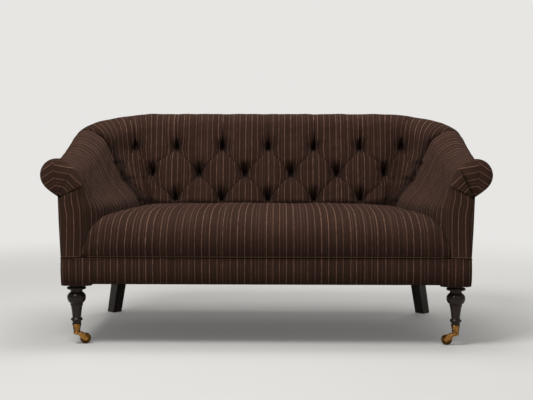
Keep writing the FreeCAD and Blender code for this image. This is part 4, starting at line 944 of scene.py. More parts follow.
def make_back_cover():
    """The tufted back with its roll, closed by its hidden side on the frame."""
    tufts = scene_settings()[1]
    alongs, flat, reaches, rows, columns = back_face()
    z = flat[..., 2]
    climbed = travelled(flat, 0)
    past_top_row = climbed - climbed[TOP_LINE]
    above = np.maximum(past_top_row, 0.0)
    fade = 0.16 + 0.84 * np.exp(-above / 0.060)
    fade *= np.clip((past_top_row[-1] - above) / 0.06, 0.0, 1.0)
    spacing = np.gradient(travelled(flat, 1), axis=1) / np.gradient(columns, axis=1)
    narrow = np.clip(spacing / 0.085, 0.12, 1.0)
    climbing = np.where(above > 0, 2.0 + above / 0.104, rows)
    shape = 1 - (1 - tuft_shape(columns, climbing)) * fade * narrow
    pits, dark, nearest, drawn = press_pits(flat, columns, spacing, above)
    groove = (1 - shape) * (0.42 + 0.58 * bell(nearest, 0.036))
    from_seam = np.abs(LAST_COLUMN - np.abs(columns)) * spacing
    height = tufts.rise * (0.5 * fade - groove) * (1 - 0.6 * np.clip(pits, 0, 1)) - tufts.pit * pits
    height -= 0.012 * np.clip(1 - from_seam / 0.022, 0, 1) ** 2
    height += 0.0014 * unevenness(flat, 0.045, 1.0)
    height *= np.clip((z - FACE_FOOT) / 0.03, 0.0, 1.0)
    normal = normals_of(flat)
    cover = flat + normal * height[..., None]
    # Painted shade: in the grooves of the folds, in and around the pits, along the pleat lines,
    # beside the seams and at the foot of the back by the seat.
    shade = np.max([0.6 * np.clip(groove * 2.2 - 0.6, 0, 1) ** 1.5,
                    np.clip(1.45 * dark - 0.16, 0, 1),
                    0.40 * bell(nearest, 0.042),
                    seam_shade(from_seam, z),
                    0.7 * np.clip((0.492 - z) / 0.02, 0, 1)], axis=0)
    straight = np.clip(np.abs(alongs), 0, STRAIGHT_HALF)
    turns = np.radians([turn_at(along) for along in alongs])
    across = np.sign(alongs) * (straight + turns * np.sqrt(np.maximum(reaches, 0.01) * 0.14))
    across = across + 0.45 * drawn
    hollow = np.array([[back_point(along, reach, z) for reach, z in back_hollow(turn_at(along))]
                       for along in alongs]).transpose(1, 0, 2)
    inner = np.concatenate([cover[-1:], hollow, cover[:1]], axis=0)
    inner_across = np.tile(across[-1:], (inner.shape[0], 1))
    grids = [Grid(cover, across, climbed, shade, tuft_cells(columns, rows)),
             Grid(inner, inner_across, travelled(inner, 0) + 1.0)]
    caps = [list(cover[::-1, 0]) + list(hollow[::-1, 0]), list(cover[:, -1]) + list(hollow[:, -1])]
    made = cloth_piece("Back_cover", grids, striped_wool(), caps)
    keep(made)
    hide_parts("back_pad")
    return cover, normal


BUTTON_SHAPE = ((0.80, -0.0028), (1.0, 0.0002), (1.0, 0.0027), (0.93, 0.0048), (0.72, 0.0066),
                (0.42, 0.0076), (0.04, 0.0080))
BUTTON_NAMES = {2: ("Top_buttons", "top_row_buttons"),
                1: ("Middle_buttons", "middle_row_buttons"),
                0: ("Bottom_buttons", "bottom_row_buttons")}


def button_grid(seat, facing, column):
    """One button: rings round its axis, pinched a little where the cloth is gathered."""
    wool, tufts, _ = scene_settings()
    side = facing.cross(Vector((0, 0, 1))).normalized()
    up = side.cross(facing)
    rings = []
    for share, lift in BUTTON_SHAPE:
        ring = []
        for step in range(41):
            angle = 2 * math.pi * step / 40
            pinch = 1 + 0.022 * math.cos(10 * angle) * (share > 0.6)
            spoke = side * math.cos(angle) + up * math.sin(angle)
            ring.append(tuple(Vector(seat) + facing * lift
                              + spoke * tufts.button / 2 * share * pinch))
        rings.append(ring)
    points = np.array(rings)
    across = (points - seat) @ np.array(side) + column * wool.pitch
    along = (points - seat) @ np.array(up)
    # Painted shade: the buttons are shaded at 0.75, deep in their pits.
    return Grid(points, across, along, np.full(across.shape, 0.75))


def make_buttons(cover, normal):
    """Buttons gathered in the same wool, each deep in its pit and turned a little upward."""
    for row, (name, node) in BUTTON_NAMES.items():
        grids = []
        for column in BUTTON_COLUMNS[row]:
            spot = spot_on_grid(column, row)
            facing = (Vector(normal[spot]) + Vector((0, 0, 0.22))).normalized()
            grids.append(button_grid(cover[spot], facing, column))
        made = cloth_piece(name, grids, striped_wool())
        keep(made)
        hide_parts(node)


def make_back():
    make_buttons(*make_back_cover())


# Arms

# Along an arm: the depth, how far its top has climbed and how far its foot has come inward
ARM_WAYS = (
    (-0.020, 0.0, 0.12), (0.010, 0.0, 0.22), (0.050, 0.0, 0.33), (0.100, 0.01, 0.42),
    (0.200, 0.09, 0.56), (0.300, 0.28, 0.69), (0.450, 0.68, 0.86), (0.530, 0.90, 0.95),
    (ARM_BACK, 1.0, 1.0),
)
ARM_FRONT = -0.020
FRONT_FACE = -0.048
ARM_TOP = 0.658
ONTO_ROLL = 112.0            # the angle at which the inside of an arm runs onto its roll
FACE_ROUND = 0.042
FAN_CENTRE = (0.723, 0.524)
FAN_FOOT = (0.646, 0.562)
FAN_END = (0.735, 0.541)
FAN_RINGS = 36
FAN_STRIPES = 0.1105         # which of the stripes pass through the fan's centre
PLEATS = (116.6, 82.5)
PLEAT_LENGTH = 0.092
HEM_START = (0.640, 0.566)
HEM_TURN = (0.7235, 0.5165)
HEM_FALL = 0.0555 / 0.0980
PILLAR_CORNER = 0.026


def arm_rise(depth):
    """How far an arm's top has climbed, from 0 at the front to 1 at the seam."""
    return curve_through([(way, rise) for way, rise, _ in ARM_WAYS], depth)


def arm_drawn(depth):
    """How far an arm's foot has come inward, from 0 to 1 at the seam."""
    return curve_through([(way, drawn) for way, _, drawn in ARM_WAYS], depth)


def arm_inner(depth):
    """How far from the middle an arm's foot stands."""
    return ARM_INSIDE + (SEAM_INSIDE - ARM_INSIDE) * arm_drawn(depth)


def arm_height(depth):
    """Height of an arm's top, which climbs to the seam with the back."""
    return ARM_TOP + (SEAM_TOP - ARM_TOP) * arm_rise(depth)


def arm_section(depth):
    """The section of an arm at a depth: (x, z) from its foot inside, over the roll, to the nip."""
    inner = arm_inner(depth)
    height = arm_height(depth)
    centre = (ARM_ROLL_HALF + SEAM_ROLL_OUT * arm_rise(depth), height - ARM_ROLL)
    seat_z = SEAT_LINE - 0.006
    shoulder = (max(ARM_INSIDE, inner), height - ARM_SHOULDER_DROP)
    gap = max(ARM_INSIDE - inner, 0.0)
    lower = (inner + gap * 0.03, seat_z + 0.007)
    upper = (inner + gap * 0.56, lower[1] + (shoulder[1] - lower[1]) * 0.42)
    onto, crest = [arc_points(centre, ARM_ROLL, angle, angle, 1)[0] for angle in (ONTO_ROLL, 90.0)]
    leaning = (blend(shoulder[0], onto[0], 0.36), blend(shoulder[1], onto[1], 0.60))
    line = [(inner, blend(PAD_BASE, seat_z, t)) for t in (0.0, 0.35, 0.7)]
    knots = [line[-1], lower, upper, shoulder, leaning, onto, crest]
    line += bezier(line[-1], line[-1], lower, lower, 3)
    for before, here, there, beyond in zip(knots, knots[1:], knots[2:], knots[3:]):
        leave = tuple(h + (t - b) / 6 for b, h, t in zip(before, here, there))
        arrive = tuple(t - (y - h) / 6 for h, t, y in zip(here, there, beyond))
        line += bezier(here, leave, arrive, there, 9)
    line += arc_points(centre, ARM_ROLL, ONTO_ROLL, -84.0, 40)
    nip_z = height - ROLL_DROP
    outside = outline_half(depth, nip_z)
    return line + [(outside + NIP_OVER, nip_z - 0.0005), (outside - 0.002, nip_z + 0.003)]


def arm_outline(depth, count):
    """The section's points evenly spread, with the bend at the seat line eased."""
    line = spread(arm_section(depth), count)
    inside = int(count * 0.42)
    line[:inside] = smoothed(line[:inside], int(0.0011 * count * count))
    return line


def fan_pleats(offset, inward, folds):
    """What the pleats do to the front of a scroll: how far in it lies, and how much painted shade it
    gets.
    """
    deeper = dark = 0.0
    for pleat, deep in zip(PLEATS, folds):
        line = math.radians(pleat)
        aside = offset[0] * math.sin(line) - offset[1] * math.cos(line)
        ahead = offset[0] * math.cos(line) + offset[1] * math.sin(line)
        if ahead <= 0:
            continue
        inside = deep * eased(inward / 0.020)
        half = 0.0012 + 0.0016 * math.sin(math.pi * min(ahead / PLEAT_LENGTH, 1.0))
        slit = bell(aside, half)
        deeper += 0.0050 * slit * inside
        if aside > 0:
            deeper += 0.0040 * math.exp(-aside / 0.011) * inside
        dark = max(dark, 0.9 * slit * inside, 0.4 * inside * math.exp(-abs(aside) / 0.006))
    return deeper, dark


def fan_grid(side):
    """The pleated front of a scroll, gathered to a point over the nip.

    The pleats were folded by hand: the inner one lies open on the right and is pulled flat on
    the left; the outer one only turns the stripes.
    """
    folds = (1.0 if side > 0 else 0.30, 0.12)
    outline = arm_outline(ARM_FRONT, 420)
    start = int(np.argmin(np.hypot(*(outline - FAN_FOOT).T)))
    outline = outline[start:-6]
    centre = np.array(FAN_CENTRE)
    spokes = outline - centre
    angles = np.degrees(np.arctan2(spokes[:, 1], spokes[:, 0]))
    farthest = int(np.argmin(angles[:int(len(angles) * 0.9)]))
    size = (len(outline), FAN_RINGS)
    points = np.zeros((*size, 3))
    across, along, shade = np.zeros(size), np.zeros(size), np.zeros(size)
    bounds = (154.0, *PLEATS, 30.0)
    for index, rim in enumerate(outline):
        past = eased((index - farthest) / max(len(outline) - 1 - farthest, 1))
        target = centre + (np.array(FAN_END) - centre) * past
        sector = 2 if index > farthest else sum(angles[index] <= pleat for pleat in PLEATS)
        bisector = math.radians((bounds[sector] + bounds[sector + 1]) / 2)
        way = np.array((math.cos(bisector), math.sin(bisector)))
        cross = np.array((-way[1], way[0]))
        for ring in range(FAN_RINGS):
            t = (ring / (FAN_RINGS - 1)) ** 1.3
            place = rim + (target - rim) * t
            offset = place - centre
            inward = np.linalg.norm(rim - target) * t
            rounded = math.sqrt(1 - (1 - min(inward / FACE_ROUND, 1)) ** 2)
            near_centre = math.exp(-np.linalg.norm(offset) / 0.013)
            deeper, dark = fan_pleats(offset, inward, folds if index <= farthest else ())
            depth = blend(ARM_FRONT, FRONT_FACE, rounded) + 0.012 * near_centre + deeper
            points[index, ring] = (place[0], depth, place[1])
            across[index, ring] = FAN_STRIPES - offset @ way
            along[index, ring] = offset @ cross
            # Painted shade at the gathered centre and along the pleats.
            shade[index, ring] = max(0.85 * near_centre, dark)
    return points, across, along, shade


def hem_height(x):
    """Height of the hem below a scroll: it falls outward and turns up at the nip."""
    if x > HEM_TURN[0]:
        return HEM_TURN[1] + min((x - HEM_TURN[0]) / 0.003, 1.0) * 0.030
    return HEM_START[1] - max(x - HEM_START[0], 0.0) * HEM_FALL


def pillar_grid():
    """The front of an arm below its scroll: cloth that wraps from the inside to the outside."""
    shares = np.concatenate([np.linspace(0, 0.045, 10)[:-1], np.linspace(0.045, 1, 44)])
    section = arm_outline(ARM_FRONT, 120)[:48]
    rows, gaps = [], []
    for share in shares:
        rough_z = blend(PAD_BASE, HEM_START[1], share)
        outer = HALF_WIDTH + flare_at(rough_z)
        inner = float(np.interp(rough_z, section[:, 1], section[:, 0]))
        start = (inner + 0.0002, ARM_FRONT + 0.002)
        plan = [start] + bezier(start, (inner + 0.0075, -0.0390), (inner + 0.034, FRONT_FACE),
                                (inner + 0.066, FRONT_FACE), 22)
        plan += arc_points((outer - PILLAR_CORNER, FRONT_FACE + PILLAR_CORNER), PILLAR_CORNER,
                           270, 360, 12)
        plan.append((outer, ARM_FRONT + 0.004))
        bulge = 0.0022 * math.sin(math.pi * share)
        row = []
        for x, depth in spread(plan, 72):
            top = hem_height(x)
            z = blend(PAD_BASE - 0.0006, top, share)
            edge = max(0.0, 1 - (top - z) / 0.006)
            foot = max(0.0, 1 - (z - PAD_BASE) / 0.005)
            front = eased((ARM_FRONT - depth) / 0.02)
            inset = 0.0030 * edge ** 2 + 0.004 * foot ** 2 - 0.0018 * (1 - edge) - bulge
            row.append((x, depth + inset * front, z))
        rows.append(row)
        gaps.append([hem_height(x) - z for x, _, z in row])
    grid = np.array(rows)
    up = grid[..., 2] - PAD_BASE
    # Painted shade under the hem of the scroll and at the foot by the rail band; below 0 the light
    # thread.
    shade = np.maximum(0.85 * bell(np.array(gaps), 0.0045), 0.7 * bell(up, 0.0025))
    sewn = hem_thread(up)
    return grid, ARM_FRONT - travelled(grid, 1), grid[..., 2], shade * (1 - sewn) - 0.5 * sewn


def make_arm_covers():
    """Each arm: its roll and sides, the pleated scroll and the pillar below it."""
    depths = np.concatenate([np.linspace(ARM_BACK, 0.06, 66), np.linspace(0.052, ARM_FRONT, 12)])
    body = np.array([[(x, depth, z) for x, z in arm_outline(depth, 120)] for depth in depths])
    depth, z = body[..., 1], body[..., 2]
    climbed = travelled(body, 1)
    over = climbed / climbed[:, -1:]
    from_seam = ARM_BACK - depth
    to_seam = np.clip(1 - from_seam / 0.018, 0, 1)
    drawn_in = np.clip(1 - from_seam / 0.050, 0, 1) ** 1.5 * seam_ends(from_seam, z)
    swell = 0.0014 * unevenness(body, 0.075, 2.0) - 0.009 * to_seam ** 2
    swell += 0.0016 * bell(over - 0.50, 0.16) * unevenness(body, 0.035, 5.0)
    swell -= 0.012 * drawn_in * (over < 0.5)
    swell *= np.clip((depth - ARM_FRONT) / 0.035, 0, 1)
    # Painted shade beside the seam with the back, at the arm's end, and in the nip under the roll.
    shade = np.max([seam_shade(from_seam, z) * (over < 0.5),
                    0.9 * to_seam ** 1.4,
                    0.8 * np.clip((over - 0.955) / 0.03, 0, 1)], axis=0)
    shade *= np.clip((depth + 0.012) / 0.03, 0, 1)
    stretched = ARM_FRONT + (depth - ARM_FRONT) * 0.78
    body = body - normals_of(body) * swell[..., None]
    pillar = pillar_grid()
    for side in SIDES:
        name = SIDE_NAMES[side]
        grids = [Grid(sided(points, side), *places)
                 for points, *places in ((body, stretched, climbed, shade), fan_grid(side), pillar)]
        made = cloth_piece(name.capitalize() + "_arm_cover", grids, striped_wool(),
                           [list(sided(body[0], side))])
        keep(made)
        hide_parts(name + "_arm_pad")


# Seat


def seat_line(share):
    """Depth and height of the seat's top from the nose to the back; share is 1 at the middle."""
    nose = (blend(-0.030, -0.046, share), blend(0.372, 0.392, share))
    nose_middle = (blend(-0.046, -0.058, share), blend(0.343, 0.350, share))
    crest = (blend(0.088, 0.090, share), blend(0.453, 0.463, share))
    crest_middle = (blend(0.010, 0.002, share), blend(0.424, 0.436, share))
    rear = (SEAM_DEPTH + REACH_SEAT + 0.035, blend(0.461, 0.468, share))
    rear_middle = (0.320, blend(0.459, 0.477, share))
    line = [(-0.0405, PAD_BASE), (-FRONT_REACH - 0.003, PAD_BASE + 0.0035)]
    line += through(line[-1], nose_middle, nose, 16)
    line += through(nose, crest_middle, crest, 26)
    line += through(crest, rear_middle, rear, 56)
    fine = spread(smoothed(line, 5), 700)
    return fine[np.concatenate([np.arange(24), np.linspace(24, 699, 114).astype(int)])]


def hem_thread(up):
    """The light thread that sews the cover down, a few millimetres above the rail band."""
    return bell(up - 0.0038, 0.0014)


def seat_half(depth):
    """Half the width of the seat at a depth."""
    if depth <= ARM_BACK:
        return arm_inner(max(depth, ARM_FRONT)) + 0.002 + max(ARM_FRONT - depth, 0.0) * 0.45
    return blend(SEAM_INSIDE + 0.002, 0.470, min((depth - ARM_BACK) / 0.04, 1.0))


def seat_shade(depth, z, tuck):
    """Painted shade where the seat tucks in, at its foot, under the back and towards the bottom of
    its nose, with a light thread.
    """
    at_rail = max(0.0, 1 - (z - PAD_BASE) / 0.007) ** 2
    under_nose = min(max((0.447 - z) / 0.105, 0.0), 1.0) * (depth < 0.05)
    under_back = eased((depth - 0.585) / 0.03)
    dark = max(0.9 * tuck ** 3, 0.8 * under_back, 0.7 * at_rail, 0.40 * under_nose)
    sewn = hem_thread(z - PAD_BASE) * (depth < 0) * (1 - tuck)
    return dark * (1 - sewn) - 0.6 * sewn


def make_seat_cover():
    """The sprung seat with its bull nose, tucked in beside the arms and under the back."""
    ways = np.concatenate([np.linspace(-1, -0.86, 26)[:-1], np.linspace(-0.86, 0.86, 150),
                           np.linspace(0.86, 1, 26)[1:]])
    columns, shades = [], []
    for way in ways:
        column, shade = [], []
        for depth, z in seat_line(1 - abs(way) ** 5):
            half = seat_half(depth)
            tuck = max(0.0, 1 - (1 - abs(way)) * half / 0.026)
            top = eased((z - 0.36) / 0.06)
            column.append((way * half, depth + 0.008 * tuck ** 2 * (1 - top),
                           z - 0.007 * tuck ** 2 * top))
            shade.append(seat_shade(depth, z, tuck))
        columns.append(column)
        shades.append(shade)
    grid = np.array(columns).transpose(1, 0, 2)
    swell = 0.0022 * unevenness(grid, 0.110, 4.0) + 0.0010 * unevenness(grid, 0.040, 7.0)
    swell *= np.clip((grid[..., 2] - 0.33) / 0.03, 0, 1)
    grid = grid + normals_of(grid) * swell[..., None]
    across = grid[..., 0]
    along = travelled(grid, 0)
    grid = sided(grid, 1)
    under = grid[[0, -1]]
    under[..., 2] = PAD_BASE
    rear = np.stack([grid[-1], under[1], under[0], grid[0]])
    made = cloth_piece("Cushion_cover", [
        Grid(grid, across, along, np.array(shades).T),
        Grid(rear, np.tile(across[:1], (4, 1)), travelled(rear, 0)),
    ], striped_wool(), [list(grid[:, 0])[::-1] + [tuple(under[1, 0])],
                        list(grid[:, -1]) + [tuple(under[1, -1])]])
    keep(made)
    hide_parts("seat_pad")


# Rail band and outside cloth


# The band's section from its foot to its top: how far it is pushed out, its share of the
# height, and how far it is lifted
BAND_STEPS = (
    (-0.0060, 0.0, 0.0), (-0.0015, 0.0, 0.0), (0.0, 0.015, 0.0), (0.0002, 0.040, 0.0),
    (-0.0006, 0.055, 0.0), (0.0006, 0.10, 0.0), (0.0014, 0.25, 0.0), (0.0018, 0.50, 0.0),
    (0.0016, 0.75, 0.0), (0.0008, 0.90, 0.0), (0.0008, 0.940, 0.0), (0.0027, 0.964, 0.0),
    (0.0006, 0.985, 0.0), (-0.0012, 1.0, 0.0), (-0.0040, 1.0, 0.0003), (-0.0110, 1.0, 0.0004),
)
BLOCK_DROP = 0.0065          # how much deeper the band is over the corner blocks
BLOCK_FOOT = ((BLOCK_INSIDE, 0.058), (BLOCK_INSIDE, -0.0385), (0.700, -0.0385),
              (0.7135, -0.025), (0.7135, 0.058))
OUTSIDE_LEVELS = 40
OUTSIDE_STRIPES = 0.11       # which of the stripes the outside cloth begins with


def plan_line():
    """The plan round the rails from the middle of the front: right side, back, left side."""
    inside = HALF_WIDTH - FRONT_CORNER
    line = [(0.0, -FRONT_REACH), (inside, -FRONT_REACH)]
    line += arc_points((inside, FRONT_CORNER - FRONT_REACH), FRONT_CORNER, -90, 0, 10)
    line += [(HALF_WIDTH, CORNER_DEPTH)]
    line += arc_points((CORNER_X, CORNER_DEPTH), CORNER_RADIUS, 0, 90, 36)
    line += [(0.0, BACK_REACH)]
    return line + [(-x, depth) for x, depth in reversed(line[:-1])]


def outward_of(line):
    """The way out of the plan at each point of a line round it."""
    ahead = np.gradient(line, axis=0)
    outward = np.stack([ahead[:, 1], -ahead[:, 0]], axis=1)
    return outward / np.linalg.norm(outward, axis=1, keepdims=True)


def make_rail_band():
    """Padded cloth round the rails, a little deeper at the corner blocks over the front legs."""
    line = spread(plan_line(), 900)
    outward = outward_of(line)
    perimeter = travelled(line[None], 1)[0]
    perimeter = np.where(perimeter > perimeter[-1] / 2, perimeter - perimeter[-1], perimeter)
    blocks = np.array([eased((abs(x) - BLOCK_INSIDE) / 0.008) * eased((0.062 - depth) / 0.008)
                       for x, depth in line])
    low = BORDER_BOTTOM - BLOCK_DROP * blocks
    rows, shades = [], []
    for push, share, lift in BAND_STEPS:
        rows.append(np.column_stack([line + outward * push,
                                     low + (BORDER_TOP - low) * share + lift]))
        # Painted shade: darker at the band's top edge under the seat, and towards its foot.
        at_top = max(0.0, (share - 0.978) / 0.022)
        at_foot = max(0.0, 1 - share / 0.65)
        shades.append(np.full(len(line), max(0.6 * at_top, 0.72 * at_foot)))
    grid, shades = np.array(rows), np.array(shades)
    grid[..., :2] += 0.0007 * unevenness(grid, 0.050, 9.0)[..., None] * outward
    pads = [[(side * x, depth + FRONT_AXIS, BORDER_BOTTOM - 0.0062) for x, depth in BLOCK_FOOT]
            for side in SIDES]
    across = np.tile(perimeter, (len(grid), 1))
    half_way = int(np.argmax(np.abs(np.diff(perimeter)))) + 1
    grids = [Grid(sided(grid[:, piece], 1), across[:, piece], grid[:, piece, 2], shades[:, piece])
             for piece in (slice(0, half_way), slice(half_way, None))]
    made = cloth_piece("Rail_band", grids, striped_wool(), pads)
    keep(made)
    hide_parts("rail_border")


def outside_top(x, depth):
    """Height at which the outside cloth runs up under the roll, at a place on the plan."""
    turn = math.degrees(math.atan2(abs(x) - STRAIGHT_HALF, depth - SEAM_DEPTH))
    if depth < CORNER_DEPTH or turn > 90:
        return arm_height(depth) - ROLL_DROP
    return nip_height(turn) if turn > 0 else BACK_NIP


def make_outside_cover():
    """Plain cloth over the outside of the arms and back, running up under the roll."""
    line = spread(plan_line(), 700)
    line = line[line[:, 1] > ARM_FRONT - 0.003]
    outward = outward_of(line)
    tops = np.array([outside_top(x, depth) for x, depth in line]) + 0.002
    rows = []
    for share in np.linspace(0, 1, OUTSIDE_LEVELS):
        z = BORDER_TOP + 0.0006 + (tops - BORDER_TOP) * share
        tucked = 0.004 * max(0.0, 1 - share * OUTSIDE_LEVELS / 2.0) ** 2
        push = flare_at(z) - tucked - 0.0005
        rows.append(np.column_stack([line + outward * push[:, None], z]))
    grid = np.array(rows)
    grid[..., :2] += 0.0011 * unevenness(grid, 0.120, 3.0)[..., None] * outward
    width = float(travelled(grid[:1], 1)[0, -1])
    across = np.tile(OUTSIDE_STRIPES + np.linspace(0, width, len(line)), (len(grid), 1))
    made = cloth_piece("Outside_cover", [Grid(sided(grid, 1), across, grid[..., 2])],
                       striped_wool())
    keep(made)
    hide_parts("outside_back_panel", "left_outside_arm_panel", "right_outside_arm_panel")


# Cloth underneath


def lay_flat(mesh, material, upright=False):
    """Gives a mesh a cloth's finish, with the cloth's places straight from its own."""
    mesh.materials.clear()
    mesh.materials.append(material)
    layer = mesh.uv_layers.get("Cloth") or mesh.uv_layers.new(name="Cloth")
    for loop in mesh.loops:
        place = mesh.vertices[loop.vertex_index].co
        layer.data[loop.index].uv = (place.x, place.z if upright else place.y)


def make_dust_cover():
    """Black cotton under the rails, with a notch round each corner block."""
    half, front, back = 0.706, -0.031, 0.738
    notch, behind, corner = 0.637, 0.033, 0.220
    right = [(notch, front), (notch, behind), (half, behind), (half, back - corner),
             (half - corner, back)]
    outline = [(x, y + FRONT_AXIS) for x, y in [(-x, y) for x, y in reversed(right)] + right]
    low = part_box("dust_cover")[0][2]
    mesh = bpy.data.meshes.new("Dust_cover")
    mesh.from_pydata([(x, y, low) for x, y in outline], [], [tuple(range(len(outline)))])
    lay_flat(mesh, woven("Black cotton", (0.020, 0.020, 0.021), (0.008, 0.008, 0.008), 0.0012))
    made = placed("Dust_cover", mesh)
    keep(made)
    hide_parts("dust_cover")


# The hessian's rings on the rails and on the springs, from its edge inward: half the width,
# the front and the back
ON_RAILS = ((0.684, -0.030, 0.712), (0.500, 0.012, 0.565))
ON_SPRINGS = ((0.466, 0.046, 0.531), (0.020, 0.260, 0.300))
HESSIAN_CORNER = (0.600, 0.640)


def make_spring_cover():
    """Hessian over the spring well, turned out over the rails."""
    foot = BORDER_TOP + 0.0012
    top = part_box("spring_cover")[1][2] - 0.0002
    rings = []
    for x, y0, y1, z in [(*ring, foot) for ring in ON_RAILS] + [(*ring, top) for ring in ON_SPRINGS]:
        middle = (y0 + y1) / 2
        rings.append([(-x, y0, z), (0, y0, z), (x, y0, z), (x, middle, z), (x, y1, z),
                      (0, y1, z), (-x, y1, z), (-x, middle, z), (-x, y0, z)])
    grid = np.array(rings, float)
    grid[0, 4, :2] = HESSIAN_CORNER
    grid[0, 6, :2] = HESSIAN_CORNER
    grid[0, 6, 0] *= -1
    grid = sided(grid, 1)
    sack = woven("Hessian", (0.42, 0.31, 0.19), (0.19, 0.13, 0.075), 0.0028)
    made = cloth_piece("Spring_cover", [Grid(grid, grid[..., 0], grid[..., 1])], sack)
    keep(made)
    made.data.polygons.foreach_set("use_smooth", [False] * len(made.data.polygons))
    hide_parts("spring_cover")


def make_webbing():
    """Jute straps, woven over and under each other below the springs."""
    jute = woven("Jute webbing", (0.36, 0.26, 0.16), (0.15, 0.10, 0.06), 0.0022)
    for node, name in (("seat_webbing_cross", "Webbing_across"),
                       ("seat_webbing_long", "Webbing_lengthways"),
                       ("back_webbing", "Webbing_upright")):
        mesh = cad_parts[node].data.copy()
        mesh.name = name
        lay_flat(mesh, jute, upright=node == "back_webbing")
        made = placed(name, mesh)
        keep(made)
        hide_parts(node)


# Legs and casters


# Turning outlines: radius, height and how much a corner is rounded
FRONT_LEG = (
    (0.0001, 0.050), (0.0098, 0.050), (0.0100, 0.0725), (0.0150, 0.0728, 0.002),
    (0.0152, 0.0815, 0.001), (0.0168, 0.0826, 0.001), (0.0206, 0.0862, 0.003),
    (0.0208, 0.0896, 0.003), (0.0178, 0.0936, 0.002), (0.0154, 0.0950, 0.001),
    (0.0150, 0.0975, 0.002), (0.0156, 0.1040), (0.0176, 0.1200), (0.0202, 0.1380, 0.003),
    (0.0222, 0.1392, 0.001), (0.0226, 0.1424, 0.001), (0.0218, 0.1446, 0.001),
    (0.0222, 0.1466, 0.001), (0.0280, 0.1512, 0.006), (0.0322, 0.1600, 0.008),
    (0.0333, 0.1672, 0.010), (0.0318, 0.1752, 0.008), (0.0262, 0.1826, 0.005),
    (0.0212, 0.1862, 0.003), (0.0206, 0.1912, 0.003), (0.0222, 0.1950, 0.002),
    (0.0322, 0.1962, 0.002), (0.0336, 0.1990, 0.003), (0.0330, 0.2040, 0.003),
    (0.0256, 0.2052, 0.001), (0.0250, 0.2200), (0.0001, 0.2205),
)
CUP = (
    (0.0040, 0.0440), (0.0110, 0.0440, 0.001), (0.0118, 0.0462, 0.001), (0.0112, 0.0480, 0.001),
    (0.0120, 0.0500, 0.002), (0.0148, 0.0672, 0.001), (0.0160, 0.0684, 0.001),
    (0.0168, 0.0700, 0.001), (0.0166, 0.0722, 0.001), (0.0152, 0.0730, 0.0006),
    (0.0132, 0.0730), (0.0102, 0.0500), (0.0040, 0.0500),
)
SWIVEL_PLATE = (
    (0.0037, 0.0366), (0.0112, 0.0366, 0.0008), (0.0120, 0.0380, 0.001),
    (0.0120, 0.0422, 0.001), (0.0108, 0.0436, 0.0008), (0.0037, 0.0436), (0.0037, 0.0366),
)
# Half a wheel's outline, from its hub outward: radius, place on the axle and rounding
HALF_WHEEL = (
    (0.00305, -0.0064), (0.0058, -0.0064, 0.0008), (0.0064, -0.0050, 0.0008),
    (0.0100, -0.0046, 0.002), (0.0140, -0.0056, 0.002), (0.0168, -0.0062, 0.001),
    (0.0186, -0.0052, 0.001), (0.0193, -0.0020, 0.0015),
)
TRAIL = 0.0305               # how far a wheel's axle stands from its pin
WHEEL_RADIUS = 0.0193
CHEEK_INSIDE = 0.0071
CHEEK_OUTSIDE = 0.0101


def soften(made, name, width, angle):
    """Rounds the edges of a piece that are sharper than an angle in degrees."""
    bevel = made.modifiers.new(name, "BEVEL")
    bevel.width = width
    bevel.segments = 2
    bevel.limit_method = "ANGLE"
    bevel.angle_limit = math.radians(angle)


def make_front_legs():
    """The turned front legs, from the spigot in the cup up into the rail band."""
    for side in SIDES:
        centre = Vector((side * LEG_X, FRONT_AXIS, 0))
        name = SIDE_NAMES[side].capitalize() + "_turned_leg"
        made = turned_piece(name, rounded_profile(FRONT_LEG), centre, dark_legs(), steps=72,
                            crisp=50)
        keep(made)
        if side > 0:
            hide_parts("front_legs")


def make_rear_legs():
    """The square rear legs, with edges worn a little round."""
    for side in SIDES:
        node = SIDE_NAMES[side] + "_rear_leg"
        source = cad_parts[node]
        mesh = source.data.copy()
        mesh.name = SIDE_NAMES[side].capitalize() + "_square_leg"
        mesh.materials.clear()
        mesh.materials.append(dark_legs())
        made = placed(mesh.name, mesh)
        made.matrix_world = source.matrix_world.copy()
        soften(made, "Worn edges", 0.0016, 40)
        keep(made)
        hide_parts(node)


def make_cups():
    """The brass cups that take the spigots of the front legs."""
    for side in SIDES:
        centre = Vector((side * LEG_X, FRONT_AXIS, 0))
        name = SIDE_NAMES[side].capitalize() + "_caster_cup"
        made = turned_piece(name, rounded_profile(CUP), centre, aged_brass(), steps=56, crisp=40)
        keep(made)
        if side > 0:
            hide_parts("caster_cups")


def caster_axes(side):
    """The foot of a caster's pin, and the caster's own forward and cross ways."""
    angle = math.radians(15 if side < 0 else 165)
    forward = Vector((math.cos(angle), math.sin(angle), 0))
    cross = Vector((-math.sin(angle), math.cos(angle), 0))
    return Vector((side * LEG_X, FRONT_AXIS, 0)), forward, cross


def make_wheels():
    """The brass wheels, flat on the tread and dished at both sides."""
    other_half = tuple((radius, -along, *bend) for radius, along, *bend in reversed(HALF_WHEEL))
    profile = rounded_profile(HALF_WHEEL + other_half + HALF_WHEEL[:1])
    for side in SIDES:
        pin, forward, cross = caster_axes(side)
        hub = pin + forward * TRAIL + Vector((0, 0, WHEEL_RADIUS))
        name = SIDE_NAMES[side]
        # The wheels take a copy of the brass at 0.35 of its brightness, darker than the forks.
        made = turned_piece(name.capitalize() + "_brass_wheel", profile, hub,
                            aged_brass("Browned brass", 0.35), cross, 56, 40)
        keep(made, name + "_wheel")
        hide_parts(name + "_caster_wheel")


